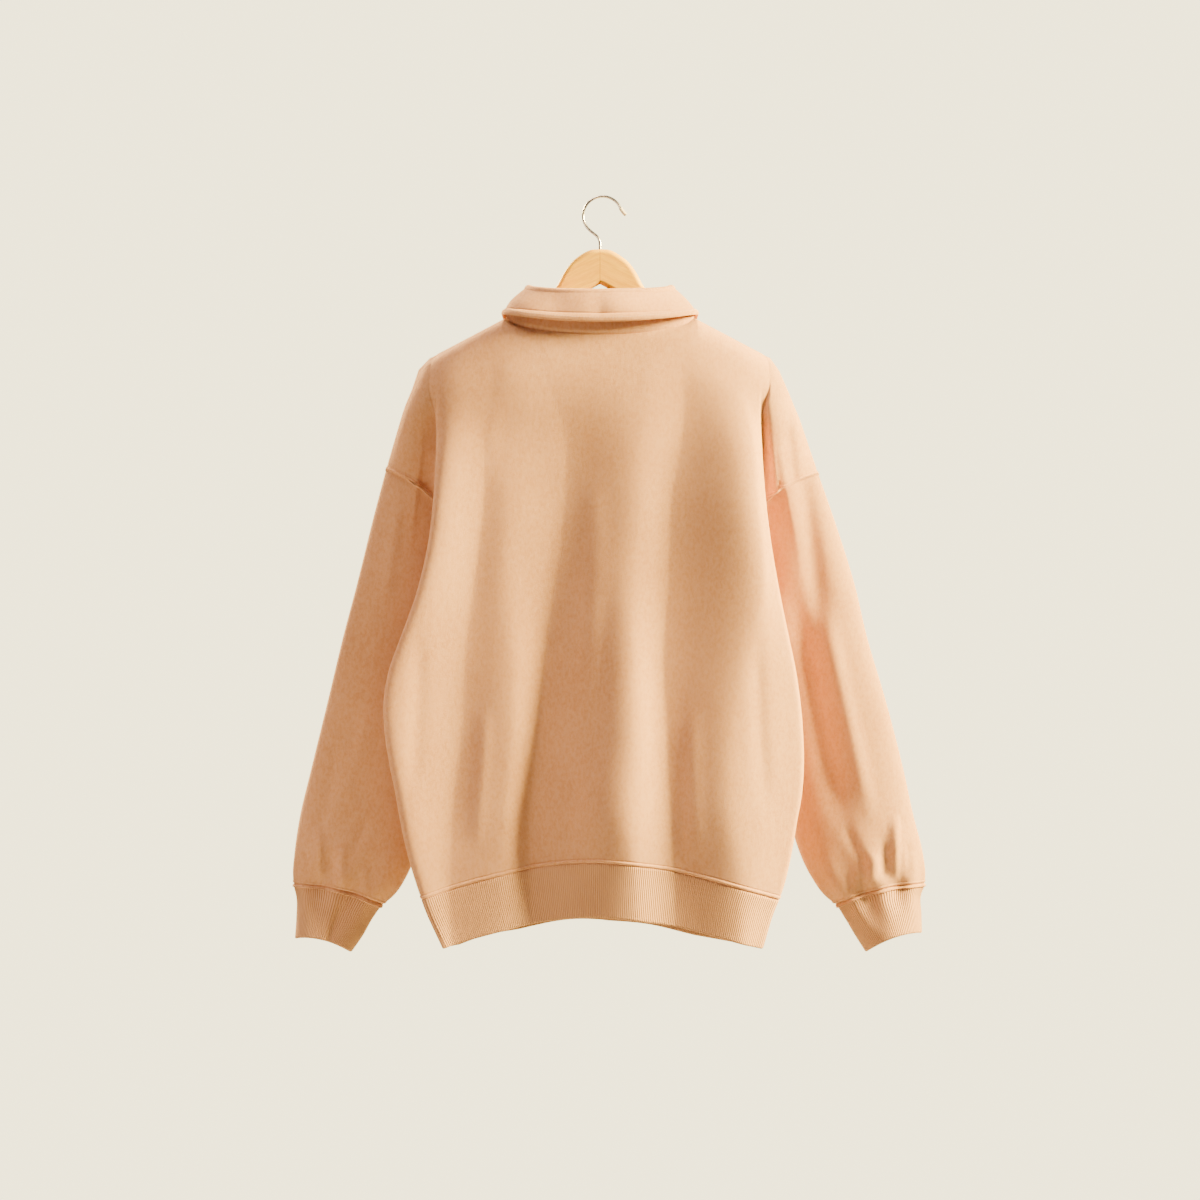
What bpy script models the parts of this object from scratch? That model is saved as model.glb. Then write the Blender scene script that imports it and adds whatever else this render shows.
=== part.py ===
"""A long-sleeved polo sweater of heavy jersey, hanging on a wooden clothes hanger.

Metres, +Z up. The origin is the highest point inside the wire hook, where the hanger is held. The back
of the sweater faces -Y and its front faces +Y. Left and right are as seen from behind.
"""

import math

import bmesh
import bpy
import numpy as np
from mathutils import Vector

CENTRE_X = -0.003  # the hanger hangs a little to the left of where it is held
LEFT, RIGHT = -1, 1

JERSEY = 0.002  # thickness of the body and sleeves
RIB = 0.0024
COLLAR_CLOTH = 0.0028
PLACKET_CLOTH = 0.0016
SEAM_GAP = 0.0003
UNDERARM_GAP = 0.003  # where four seams meet

# --- The body, from the shoulders to the hem -------------------------------------------------------

NECK_HALF_WIDTH = 0.105
NECK_SIDE_DROP = 0.1365  # below the origin
NECK_BACK_FALL, NECK_FRONT_FALL = 0.022, 0.0685  # from the side of the neck to its middle
NECK_BACK_DEPTH, NECK_FRONT_DEPTH = 0.036, 0.034
SHOULDER_SLOPE = 0.523
SHOULDER_WRAP = 0.0095  # half the depth of the fold that lies over the hanger

BACK_DEPTH, FRONT_DEPTH = 0.047, 0.034
DEPTH_REACH = 0.075  # how far below the shoulder the cloth comes forward
BACK_SQUARENESS, FRONT_SQUARENESS = 3.2, 1.7

NECK_SQUARENESS = 0.5
NECK_COLUMNS = (0.0, 0.014, 0.032, 0.051, 0.069, 0.085, 0.097, 0.1048, NECK_HALF_WIDTH)
SHOULDER_STEPS = 5
EDGE_AT_TOP, CREASE_AT_TOP = 0.183, 0.191  # distances from the middle
SPREAD_ROWS = 5  # rows over which the columns become evenly spaced
TURN_STEPS = 3  # from the body's edge round to the crease or side seam
SLEEVE_STEPS = 8  # across one face of the sleeve

# drop below the origin, left edge, right edge, how far the edge lies towards the back
BODY_EDGE = (
    (0.182, 0.186, 0.180, 0.0085),
    (0.230, 0.186, 0.177, 0.014),
    (0.286, 0.186, 0.178, 0.017),
    (0.342, 0.189, 0.182, 0.019),
    (0.398, 0.196, 0.189, 0.021),
    (0.454, 0.210, 0.199, 0.022),
    (0.498, 0.226, 0.208, 0.023),
    (0.532, 0.238, 0.215, 0.024),
    (0.567, 0.244, 0.220, 0.025),
    (0.601, 0.243, 0.223, 0.025),
    (0.635, 0.238, 0.224, 0.025),
    (0.670, 0.231, 0.222, 0.024),
    (0.704, 0.225, 0.216, 0.024),
    (0.740, 0.217, 0.210, 0.023),
    (0.786, 0.203, 0.198, 0.021),
    (0.800, 0.198, 0.192, 0.021),
    (0.842, 0.179, 0.179, 0.020),
)

# The crease between body and sleeve, and the side seam below it:
# drop, how far inside the body's edge, y on the back, y on the front
CREASE = (
    (0.182, -0.008, -0.0085, 0.0085),
    (0.215, 0.002, -0.010, 0.013),
    (0.250, 0.008, -0.010, 0.018),
    (0.310, 0.016, -0.006, 0.018),
    (0.358, 0.018, 0.002, 0.002),
    (0.450, 0.027, -0.003, -0.003),
    (0.567, 0.032, -0.006, -0.006),
    (0.650, 0.028, -0.007, -0.007),
    (0.740, 0.019, -0.009, -0.009),
    (0.842, 0.010, -0.010, -0.010),
)

HEM_DROP, HEM_CORNER_FALL = 0.745, 0.0435  # at the middle of the back, and how much lower its corners are
RIB_HEIGHT, RIB_CORNER_FALL = 0.060, 0.037
HEM_CURVE = 1.6
FRONT_HEM_FALL = 0.0085  # how much lower the front hangs

# Fractions of the way from shoulder to hem; the sleeve leaves the body at the UNDERARM row
BODY_ROWS = (0.0, 0.002, 0.0085, 0.03, 0.07, 0.12, 0.17, 0.215, 0.255, 0.290)
UNDERARM = len(BODY_ROWS) - 1
BODY_ROWS += tuple(0.290 + 0.710 * step / 13 for step in range(1, 14))
HEM = len(BODY_ROWS) - 1
TOP_WRAP = (0.0, 0.58, 0.93)  # how far the first rows have come round the hanger
RIB_STEPS = 3

# The largest folds: lines that run down the panel, each a ridge or a valley.
# x and height off the panel at each of FOLD_DROPS
FOLD_DROPS = (0.20, 0.26, 0.43, 0.565, 0.655, 0.735, 0.842)
BACK_FOLDS = (
    # x at each drop, then height at each drop
    (
        (-0.150, -0.150, -0.165, -0.185, -0.192, -0.190, -0.165),
        (0.0, 0.001, 0.002, 0.003, 0.004, 0.004, 0.002),
    ),
    (
        (-0.118, -0.120, -0.137, -0.152, -0.165, -0.171, -0.152),
        (0.0, -0.002, -0.005, -0.007, -0.008, -0.008, -0.004),
    ),
    (
        (-0.098, -0.100, -0.101, -0.107, -0.115, -0.118, -0.108),
        (0.0, 0.000, 0.002, 0.004, 0.005, 0.006, 0.004),
    ),
    (
        (-0.037, -0.039, -0.050, -0.061, -0.074, -0.081, -0.076),
        (0.0, -0.003, -0.008, -0.012, -0.014, -0.014, -0.009),
    ),
    (
        (0.044, 0.042, 0.039, 0.034, 0.031, 0.034, 0.030),
        (0.0, 0.003, 0.006, 0.009, 0.010, 0.010, 0.006),
    ),
    (
        (0.095, 0.094, 0.078, 0.073, 0.075, 0.079, 0.074),
        (0.0, -0.002, -0.005, -0.007, -0.008, -0.008, -0.005),
    ),
    (
        (0.150, 0.148, 0.150, 0.130, 0.134, 0.132, 0.122),
        (0.0, 0.001, 0.003, 0.005, 0.006, 0.006, 0.004),
    ),
)
FRONT_FOLDS = (
    (
        (-0.120, -0.120, -0.128, -0.140, -0.146, -0.150, -0.135),
        (0.0, 0.001, 0.004, 0.006, 0.007, 0.007, 0.004),
    ),
    (
        (-0.078, -0.080, -0.086, -0.094, -0.100, -0.104, -0.094),
        (0.0, -0.001, -0.004, -0.007, -0.008, -0.009, -0.005),
    ),
    (
        (-0.030, -0.030, -0.034, -0.038, -0.042, -0.044, -0.040),
        (0.0, 0.000, 0.003, 0.005, 0.006, 0.006, 0.004),
    ),
    (
        (0.018, 0.018, 0.014, 0.010, 0.008, 0.006, 0.006),
        (0.0, 0.000, -0.002, -0.005, -0.006, -0.007, -0.004),
    ),
    (
        (0.075, 0.075, 0.070, 0.064, 0.060, 0.060, 0.056),
        (0.0, 0.001, 0.004, 0.007, 0.008, 0.008, 0.005),
    ),
    (
        (0.118, 0.118, 0.118, 0.116, 0.114, 0.114, 0.104),
        (0.0, -0.001, -0.003, -0.005, -0.006, -0.006, -0.004),
    ),
)

# --- The sleeves and cuffs -------------------------------------------------------------------------

# The fold that runs down the outside of the dropped shoulder: left and right, drop and distance from x = 0
SHOULDER_FOLD = {
    LEFT: ((0.195, 0.207), (0.224, 0.217), (0.254, 0.2275), (0.286, 0.238), (0.306, 0.2445)),
    RIGHT: ((0.197, 0.199), (0.229, 0.213), (0.262, 0.226), (0.290, 0.236), (0.311, 0.2435)),
}
SHOULDER_FOLD_Y = 0.012  # at the armhole
BACK_BULGE, FRONT_BULGE = 0.005, 0.022  # of the dropped shoulder at the armhole
ARMHOLE_BOW = 0.007  # how far the armhole seam arches above a straight line
BACK_DIP = 0.005  # how far the shoulder dips behind the body's edge next to the underarm

# drop at the outer fold, left and right distance of the outer fold from x = 0, width across, half the
# depth, y of the middle, how much nearer the wall the inner fold lies, how much lower the inner fold is
SLEEVE_SECTIONS = (
    (0.306, 0.2445, 0.2420, 0.078, 0.016, 0.007, 0.000, 0.060),
    (0.363, 0.2595, 0.2620, 0.090, 0.018, 0.018, 0.014, 0.055),
    (0.437, 0.2775, 0.2850, 0.114, 0.020, 0.020, 0.020, 0.048),
    (0.496, 0.2930, 0.2990, 0.122, 0.020, 0.022, 0.024, 0.044),
    (0.567, 0.3100, 0.3200, 0.126, 0.020, 0.023, 0.025, 0.040),
    (0.645, 0.3290, 0.3400, 0.128, 0.021, 0.022, 0.023, 0.035),
    (0.700, 0.3420, 0.3520, 0.130, 0.023, 0.020, 0.018, 0.032),
    (0.740, 0.3480, 0.3620, 0.124, 0.024, 0.018, 0.012, 0.028),
    (0.765, 0.3500, 0.3650, 0.111, 0.020, 0.016, 0.006, 0.025),
    (0.777, 0.3490, 0.3640, 0.097, 0.0155, 0.015, 0.004, 0.024),
    (0.790, 0.3460, 0.3600, 0.085, 0.017, 0.015, 0.004, 0.023),
    (0.815, 0.3460, 0.3605, 0.073, 0.020, 0.015, 0.002, 0.019),
    (0.838, 0.3475, 0.3610, 0.062, 0.023, 0.015, 0.000, 0.014),
)
SLANT_CURVE = 2.2  # how unevenly the rows fall towards the inner fold at the cuff
CUFF_END_SHIFT = {LEFT: -0.001, RIGHT: -0.007}  # of the outer fold's end
CUFF_END_ARCH = 0.005  # how much higher the cuff's end is on the back
ARMHOLE_DROP, CUFF_SEAM_DROP, CUFF_END_DROP = 0.306, 0.777, 0.838
SLEEVE_ROWS = (0.0, 0.017, 0.05, *np.linspace(0.1, 1.0, 15))  # shares of the way to the cuff
ARMHOLE_REACH = 0.27  # the share over which the armhole's shape turns into the sleeve's
UNDERARM_CLEAR_X, UNDERARM_CLEAR_Y = 0.005, 0.006  # how fast the inner fold leaves the side seam
CUFF_SHARE = (CUFF_END_DROP - ARMHOLE_DROP) / (CUFF_SEAM_DROP - ARMHOLE_DROP)
CUFF_ROWS = 3
GATHER_COUNT, GATHER_HEIGHT, GATHER_REACH = 4, 0.0022, 0.070

# --- The collar ------------------------------------------------------------------------------------

COLLAR_COLUMNS = 40
COLLAR_CROWDING = 0.6  # how much closer the columns are at the sides of the neck
COLLAR_FRONT_GAP = math.radians(2.5)  # from the middle of the front to each end
COLLAR_SEAT_BACK, COLLAR_SEAT_SIDE = 0.0004, 0.0026  # how far the stand's foot is above the neck's edge
FOLD_HALF_WIDTH, FOLD_BACK_DEPTH, FOLD_FRONT_DEPTH = 0.080, 0.035, 0.040
FOLD_BACK_DROP, FOLD_SIDE_DROP, FOLD_FRONT_DROP = 0.1085, 0.0995, 0.166
FOLD_RADIUS = 0.0042
FALL_HALF_WIDTH, FALL_BACK_DEPTH, FALL_FRONT_DEPTH = 0.109, 0.048, 0.050
FALL_BACK_DROP, FALL_SIDE_DROP, FALL_FRONT_DROP = 0.143, 0.1335, 0.238
FALL_TURN = 0.888  # the fall's free edge stops this share of the way round, so that its points spread
FALL_SQUARENESS, FALL_LEAN = 0.45, 1.6
FALL_BULGE = 0.003
STAND_STEPS, FOLD_STEPS, FALL_STEPS = 3, 4, 4

# --- The placket and buttons -----------------------------------------------------------------------

PLACKET_FIRST_ROW, PLACKET_LAST_ROW = 1, 8
BUTTON_RADIUS, BUTTON_HEIGHT, BUTTON_SIDES = 0.0058, 0.0028, 20
BUTTON_DISH_RADIUS, BUTTON_DISH_DEPTH = 0.0038, 0.0008
BUTTON_DROPS = (0.222, 0.272, 0.322)

# --- The hanger ------------------------------------------------------------------------------------

HANGER_THICKNESS, HANGER_ROUNDING = 0.012, 0.005
# distance from the middle, drop of the top edge
HANGER_TOP = (
    (0.000, 0.0583), (0.011, 0.0593), (0.0225, 0.0652), (0.034, 0.0750), (0.041, 0.0848),
    (0.0485, 0.0990), (0.062, 0.1120), (0.080, 0.1250), (0.100, 0.1374),
)
HANGER_UNDER_CLOTH = 0.0020  # from the middle of the cloth's thickness down to the wood
HANGER_HALF_WIDTH, HANGER_END_HEIGHT = 0.177, 0.016
# distance from the middle, drop of the bottom edge
HANGER_BOTTOM = ((0.000, 0.0974), (0.0145, 0.1055), (0.050, 0.1270), (0.105, 0.1560), (0.150, 0.1795))

WIRE_RADIUS, BORE_RADIUS, BORE_END_DROP = 0.0015, 0.0019, 0.084
WIRE_END_DROP = 0.0836
HOOK_RADIUS = 0.022  # to the middle of the wire
HOOK_START, HOOK_END = math.radians(22), math.radians(203)
HOOK_STEPS = 22
HOOK_TIP = ((0.0262, -0.0196), (0.0236, -0.0168))  # x and z, where the wire turns out to its tip
HOOK_NECK = (  # x and z, from the round part down to the wood
    (-0.0176, -0.0335), (-0.0140, -0.0372), (-0.0098, -0.0406), (-0.0062, -0.0437), (-0.0040, -0.0472),
    (-0.0031, -0.0510), (-0.0030, -0.0560),
)

MATERIALS = {
    # colour, roughness, metallic
    "jersey": ((0.72, 0.42, 0.25), 0.9, 0.0),
    "rib": ((0.66, 0.38, 0.22), 0.92, 0.0),
    "button": ((0.62, 0.40, 0.26), 0.4, 0.0),
    "wood": ((0.80, 0.50, 0.20), 0.45, 0.0),
    "wire": ((0.80, 0.79, 0.77), 0.2, 1.0),
}


def clear_scene():
    for obj in list(bpy.data.objects):
        bpy.data.objects.remove(obj, do_unlink=True)


def smooth(share):
    share = min(max(share, 0.0), 1.0)
    return share * share * (3 - 2 * share)


def mix(a, b, share):
    return a + (b - a) * share


def curve(knots, values, at):
    """The smooth curve through values at rising knots, and level past either end."""
    at = min(max(at, knots[0]), knots[-1])
    i = min(int(np.searchsorted(knots, at, side="right")) - 1, len(knots) - 2)
    slopes = np.gradient(np.asarray(values, float), np.asarray(knots, float))
    step = knots[i + 1] - knots[i]
    t = (at - knots[i]) / step
    start = (1 + 2 * t) * (1 - t) ** 2 * values[i] + t * (1 - t) ** 2 * step * slopes[i]
    end = t * t * (3 - 2 * t) * values[i + 1] + t * t * (t - 1) * step * slopes[i + 1]
    return start + end


def read(table, column, at):
    """One column of a table, at a drop between its rows."""
    return curve([row[0] for row in table], [row[column] for row in table], at)


# --- Body surface ----------------------------------------------------------------------------------


def side_column(side):
    """The column of a table that holds this side."""
    return 1 if side == LEFT else 2


NECK_EDGE = len(NECK_COLUMNS) - 1
BODY_EDGE_COLUMN = NECK_EDGE + SHOULDER_STEPS
CREASE_COLUMN = BODY_EDGE_COLUMN + TURN_STEPS
FOLD_COLUMN = CREASE_COLUMN + SLEEVE_STEPS


def top_distance(column):
    """How far from the middle a column starts, on the neck seam or the shoulder seam."""
    if column <= NECK_EDGE:
        return NECK_COLUMNS[column]
    if column <= BODY_EDGE_COLUMN:
        return mix(NECK_HALF_WIDTH, EDGE_AT_TOP, (column - NECK_EDGE) / SHOULDER_STEPS)
    return mix(EDGE_AT_TOP, CREASE_AT_TOP, (column - BODY_EDGE_COLUMN) / TURN_STEPS)


def body_distance(column):
    """How far from the middle the column would be at the top, with the columns evenly spaced."""
    if column > BODY_EDGE_COLUMN:
        return top_distance(column)
    return EDGE_AT_TOP * column / BODY_EDGE_COLUMN


def neck_arc(distance):
    """1 at the middle of the neck and 0 at its sides and beyond."""
    return math.sqrt(max(0.0, 1 - (distance / NECK_HALF_WIDTH) ** 2))


def top_drop(distance, is_back):
    """The drop of the neck or shoulder seam, at a distance from the middle."""
    if distance < NECK_HALF_WIDTH:
        fall = NECK_BACK_FALL if is_back else NECK_FRONT_FALL
        return NECK_SIDE_DROP + fall * neck_arc(distance)
    return NECK_SIDE_DROP + SHOULDER_SLOPE * (distance - NECK_HALF_WIDTH)


def hem_drop(distance, is_back):
    share = min(1.0, distance / EDGE_AT_TOP)
    fall = 0.0 if is_back else FRONT_HEM_FALL * (1 - share**2)
    return HEM_DROP + HEM_CORNER_FALL * share**HEM_CURVE + fall


def row_drop(column, row, is_back):
    """The drop of a body row, and of a rib row where the row is past the hem."""
    top = top_drop(top_distance(column), is_back)
    hem = hem_drop(body_distance(column), is_back)
    if row <= HEM:
        return mix(top, hem, BODY_ROWS[row])
    share = min(1.0, body_distance(column) / EDGE_AT_TOP)
    corner = (RIB_CORNER_FALL - HEM_CORNER_FALL) * share**HEM_CURVE
    return hem + (RIB_HEIGHT + corner) * (row - HEM) / RIB_STEPS


def wrap(row):
    return TOP_WRAP[row] if row < len(TOP_WRAP) else 1.0


def fold_height(folds, x, drop):
    """How far the folds stand off the panel here. Between two fold lines the height follows an S curve."""
    lines = [
        (curve(FOLD_DROPS, xs, drop), curve(FOLD_DROPS, heights, drop)) for xs, heights in folds
    ]
    lines = [(lines[0][0] - 0.05, 0.0), *lines, (lines[-1][0] + 0.06, 0.0)]
    if not lines[0][0] < x < lines[-1][0]:
        return 0.0
    for (x0, height0), (x1, height1) in zip(lines, lines[1:]):
        if x <= x1:
            return mix(height0, height1, smooth((x - x0) / (x1 - x0)))
    return 0.0


def panel_depth(column, row, drop, is_back):
    """How far the middle of the panel is from the hanger's plane."""
    neck_depth, deepest = (
        (NECK_BACK_DEPTH, BACK_DEPTH) if is_back else (NECK_FRONT_DEPTH, FRONT_DEPTH)
    )
    start = top_distance(column)
    at_top = max(neck_depth * neck_arc(start) ** NECK_SQUARENESS, SHOULDER_WRAP * wrap(row))
    below = drop - top_drop(start, is_back)
    return mix(at_top, deepest, 1 - math.exp(-below / DEPTH_REACH))


def body_edge(side, row):
    """The outermost point of the body on this side, as (x, y, drop)."""
    drop = row_drop(BODY_EDGE_COLUMN, row, True)
    x = side * read(BODY_EDGE, side_column(side), drop)
    return np.array((x, -read(BODY_EDGE, 3, drop) * wrap(row), drop))


def crease(side, row, is_back):
    """The crease between body and sleeve, which is the side seam below the underarm."""
    drop = row_drop(CREASE_COLUMN, row, True)
    edge = read(BODY_EDGE, side_column(side), drop)
    x = side * (edge - read(CREASE, 1, drop))
    return np.array((x, read(CREASE, 2 if is_back else 3, drop) * wrap(row), drop))


def panel_share(column, row, whole):
    """How far across the panel a column is at this row, from 0 at the middle to 1 at its side."""
    distance = mix(top_distance(column), body_distance(column), smooth(row / SPREAD_ROWS))
    return distance / whole


def back_point(side, column, row):
    """A point of the back panel's surface, as (x, y, drop)."""
    edge = body_edge(side, row)
    if column > BODY_EDGE_COLUMN:
        end = crease(side, row, True)
        t = (column - BODY_EDGE_COLUMN) / TURN_STEPS
        bend = np.array((edge[0], mix(edge[1], end[1], 0.7), mix(edge[2], end[2], 0.5)))
        return (1 - t) ** 2 * edge + 2 * t * (1 - t) * bend + t * t * end
    share = panel_share(column, row, EDGE_AT_TOP)
    drop = row_drop(column, row, True)
    x = mix(CENTRE_X, edge[0], share)
    roundness = (1 - share**BACK_SQUARENESS) ** (1 / BACK_SQUARENESS)
    y = mix(edge[1], -panel_depth(column, row, drop, True), roundness)
    return np.array((x, y - fold_height(BACK_FOLDS, x, drop) * (1 - share**8), drop))


def front_point(side, column, row):
    """A point of the front panel's surface, as (x, y, drop)."""
    end = crease(side, row, False)
    if column == CREASE_COLUMN:
        return end
    share = panel_share(column, row, CREASE_AT_TOP)
    drop = row_drop(column, row, False)
    x = mix(CENTRE_X, end[0], share)
    roundness = (1 - share**FRONT_SQUARENESS) ** (1 / FRONT_SQUARENESS)
    y = mix(end[1], panel_depth(column, row, drop, False), roundness)
    return np.array((x, y + fold_height(FRONT_FOLDS, x, drop) * (1 - share**8), drop))


def shoulder_point(side, column, row, is_back):
    """A point of the dropped shoulder, between the crease and the fold down its outside."""
    inner = crease(side, row, is_back)
    fold = SHOULDER_FOLD[side]
    share = BODY_ROWS[row] / BODY_ROWS[UNDERARM]
    drop = mix(fold[0][0], fold[-1][0], share)
    outer = np.array((side * read(fold, 1, drop), SHOULDER_FOLD_Y * share, drop))
    across = (1 - math.cos(math.pi * (column - CREASE_COLUMN) / SLEEVE_STEPS)) / 2
    point = mix(inner, outer, across)
    point[1] = mix(outer[1], inner[1], math.sqrt(1 - across**5))
    point[2] -= ARMHOLE_BOW * share * 4 * across * (1 - across)
    if is_back:
        near = min(1.0, 2 * across)
        point[1] -= BACK_BULGE * share * math.sin(math.pi * across)
        point[1] += BACK_DIP * share**4 * math.sqrt(4 * near * (1 - near))
    else:
        point[1] += FRONT_BULGE * share**3 * math.sqrt(4 * across * (1 - across))
    return point


# --- Sleeve surface --------------------------------------------------------------------------------


def sleeve_share(drop):
    """How far down the sleeve a drop is, from 0 at the armhole to 1 at the cuff seam."""
    return (drop - ARMHOLE_DROP) / (CUFF_SEAM_DROP - ARMHOLE_DROP)


def sleeve_section(side, around, drop):
    """A point of the sleeve. around goes from 0 at the inner fold over the back to 1, and on to 2."""
    column = side_column(side)
    width, half_depth, middle_y, tuck, slant = (
        read(SLEEVE_SECTIONS, c, drop) for c in (3, 4, 5, 6, 7)
    )
    angle = math.pi * around
    inward = (1 + math.cos(angle)) / 2  # 1 at the inner fold, 0 at the outer one
    x = side * (read(SLEEVE_SECTIONS, column, drop) - width * inward)
    gather = GATHER_HEIGHT * math.cos(2 * math.pi * GATHER_COUNT * around)
    gather *= smooth(1 - abs(CUFF_SEAM_DROP - 0.012 - drop) / GATHER_REACH)
    y = middle_y + tuck * (inward - 0.5) - (half_depth + gather) * math.sin(angle)
    fall = slant * inward ** mix(1, SLANT_CURVE, smooth(sleeve_share(drop)))
    ending = max(0.0, (drop - CUFF_SEAM_DROP) / (CUFF_END_DROP - CUFF_SEAM_DROP))
    fall += CUFF_END_SHIFT[side] * ending * (1 - inward)
    fall -= CUFF_END_ARCH * ending * max(0.0, math.sin(angle))
    return np.array((x, y, drop + fall))


class Cloth:
    """The middle surface of the whole garment. Its pieces share the points along their seams."""

    def __init__(self):
        self.keys, self.points, self.faces = {}, [], {}
        self.underarms = set()

    def add(self, key, point):
        if key not in self.keys:
            self.keys[key] = len(self.points)
            self.points.append(Vector((point[0], point[1], -point[2])))
        return self.keys[key]

    def patch(self, piece, grid, flip):
        """Faces between the rows of a grid of point numbers, facing out."""
        faces = self.faces.setdefault(piece, [])
        for upper, lower in zip(grid, grid[1:]):
            for i in range(len(upper) - 1):
                face = (upper[i], lower[i], lower[i + 1], upper[i + 1])
                faces.append(face[::-1] if flip else face)

    def normals(self):
        sums = [Vector() for _ in self.points]
        for faces in self.faces.values():
            for face in faces:
                a, b, c, d = (self.points[i] for i in face)
                across = (c - a).cross(d - b)
                for i in face:
                    sums[i] += across
        return [total.normalized() for total in sums]


def body_key(side, column, row, is_back):
    """Back and front share the shoulder seam, the outer fold and the side seam."""
    if column == 0:
        side = 0
    on_shoulder_seam = row == 0 and column >= NECK_EDGE
    on_side_seam = column == CREASE_COLUMN and row >= UNDERARM
    shared = on_shoulder_seam or on_side_seam or column == FOLD_COLUMN
    return ("body", side, column, row, None if shared else is_back)


def add_body(cloth):
    for is_back in (True, False):
        panel_point = back_point if is_back else front_point
        piece = "back" if is_back else "front"
        for side in (LEFT, RIGHT):
            rows = []
            for row in range(HEM + RIB_STEPS + 1):
                line = []
                for column in range(CREASE_COLUMN + 1):
                    key = body_key(side, column, row, is_back)
                    line.append(cloth.add(key, panel_point(side, column, row)))
                rows.append(line)
            flip = (side == RIGHT) != is_back
            cloth.patch(piece, rows[: HEM + 1], flip)
            cloth.patch("hem_rib", rows[HEM:], flip)
            shoulder = []
            for row in range(UNDERARM + 1):
                line = [rows[row][CREASE_COLUMN]]
                for column in range(CREASE_COLUMN + 1, FOLD_COLUMN + 1):
                    key = body_key(side, column, row, is_back)
                    line.append(cloth.add(key, shoulder_point(side, column, row, is_back)))
                shoulder.append(line)
            cloth.patch(piece, shoulder, flip)


def armhole_ring(cloth, side):
    """The points of the armhole seam: from the underarm over the back to the fold, and back in front."""
    across = range(CREASE_COLUMN, FOLD_COLUMN + 1)
    back = [cloth.keys[body_key(side, column, UNDERARM, True)] for column in across]
    front = [cloth.keys[body_key(side, column, UNDERARM, False)] for column in across]
    return back + front[-2:0:-1]


def add_sleeve(cloth, side):
    name = "left" if side == LEFT else "right"
    armhole = armhole_ring(cloth, side)
    cloth.underarms.add(armhole[0])
    around = [2 * i / len(armhole) for i in range(len(armhole))]
    start = [sleeve_section(side, a, ARMHOLE_DROP) for a in around]
    rings = [armhole]
    cuff_shares = np.linspace(1.0, CUFF_SHARE, CUFF_ROWS + 1)
    for row, share in enumerate((*SLEEVE_ROWS[1:], *cuff_shares[1:]), 1):
        drop = mix(ARMHOLE_DROP, CUFF_SEAM_DROP, share)
        near_armhole = max(0.0, 1 - share / ARMHOLE_REACH)
        ring = []
        for i, a in enumerate(around):
            x, y, z = cloth.points[armhole[i]]
            inner = ((1 + math.cos(math.pi * a)) / 2) ** 3 * near_armhole
            clear = np.array((side * UNDERARM_CLEAR_X, UNDERARM_CLEAR_Y, 0.0)) * inner
            shift = (np.array((x, y, -z)) - start[i]) * near_armhole**2
            point = sleeve_section(side, a, drop) + shift + clear
            ring.append(cloth.add(("sleeve", side, i, row), point))
        rings.append(ring)
    rings = [[*ring, ring[0]] for ring in rings]
    seam = len(SLEEVE_ROWS) - 1
    cloth.patch("sleeve_" + name, rings[: seam + 1], side == RIGHT)
    cloth.patch("cuff_" + name, rings[seam:], side == RIGHT)


# --- Solids ----------------------------------------------------------------------------------------


def material(name):
    found = bpy.data.materials.get(name)
    if found:
        return found
    colour, roughness, metallic = MATERIALS[name]
    made = bpy.data.materials.new(name)
    made.use_nodes = True
    shader = made.node_tree.nodes["Principled BSDF"]
    shader.inputs["Base Color"].default_value = (*colour, 1.0)
    shader.inputs["Roughness"].default_value = roughness
    shader.inputs["Metallic"].default_value = metallic
    made.diffuse_color = (*colour, 1.0)
    return made


def make_object(name, points, faces, finish, smooth_angle=50):
    mesh = bpy.data.meshes.new(name)
    mesh.from_pydata([tuple(point) for point in points], [], faces)
    mesh.validate()
    mesh.materials.append(material(finish))
    mesh.shade_smooth()
    mesh.set_sharp_from_angle(angle=math.radians(smooth_angle))
    made = bpy.data.objects.new(name, mesh)
    bpy.context.scene.collection.objects.link(made)
    return made


def rim_edges(faces):
    """The edges that only one face has, each in that face's direction."""
    directed = {(a, b) for face in faces for a, b in zip(face, (*face[1:], face[0]))}
    return [(a, b) for a, b in directed if (b, a) not in directed]


def seam_shift(faces, points, normals, underarms):
    """For each point on a piece's rim, the step that takes it half a seam's gap into the piece."""
    towards = {}
    for face in faces:
        centre = sum((points[i] for i in face), Vector()) / len(face)
        for i in face:
            towards.setdefault(i, []).append(centre - points[i])
    along = {}
    for a, b in rim_edges(faces):
        for i in (a, b):
            along[i] = along.get(i, Vector()) + (points[b] - points[a])
    shifts = {}
    for i, direction in along.items():
        inward = sum(towards[i], Vector())
        for axis in (normals[i], direction.normalized()):
            inward -= axis * inward.dot(axis)
        gap = UNDERARM_GAP if i in underarms else SEAM_GAP
        shifts[i] = inward.normalized() * gap / 2
    return shifts


def wall(name, cloth, faces, normals, thickness, finish, lift=0.0):
    """A piece of cloth: its middle surface given a thickness, closed round its rim."""
    points = cloth.points
    shifts = seam_shift(faces, points, normals, cloth.underarms)
    used = sorted({i for face in faces for i in face})
    number = {i: n for n, i in enumerate(used)}
    placed = [points[i] + shifts.get(i, Vector()) + normals[i] * lift for i in used]
    outer = [p + normals[i] * thickness / 2 for p, i in zip(placed, used)]
    inner = [p - normals[i] * thickness / 2 for p, i in zip(placed, used)]
    count = len(used)
    solid = [tuple(number[i] for i in face) for face in faces]
    solid += [tuple(number[i] + count for i in reversed(face)) for face in faces]
    for a, b in rim_edges(faces):
        solid.append((number[b], number[a], number[a] + count, number[b] + count))
    return make_object(name, outer + inner, solid, finish)


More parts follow.
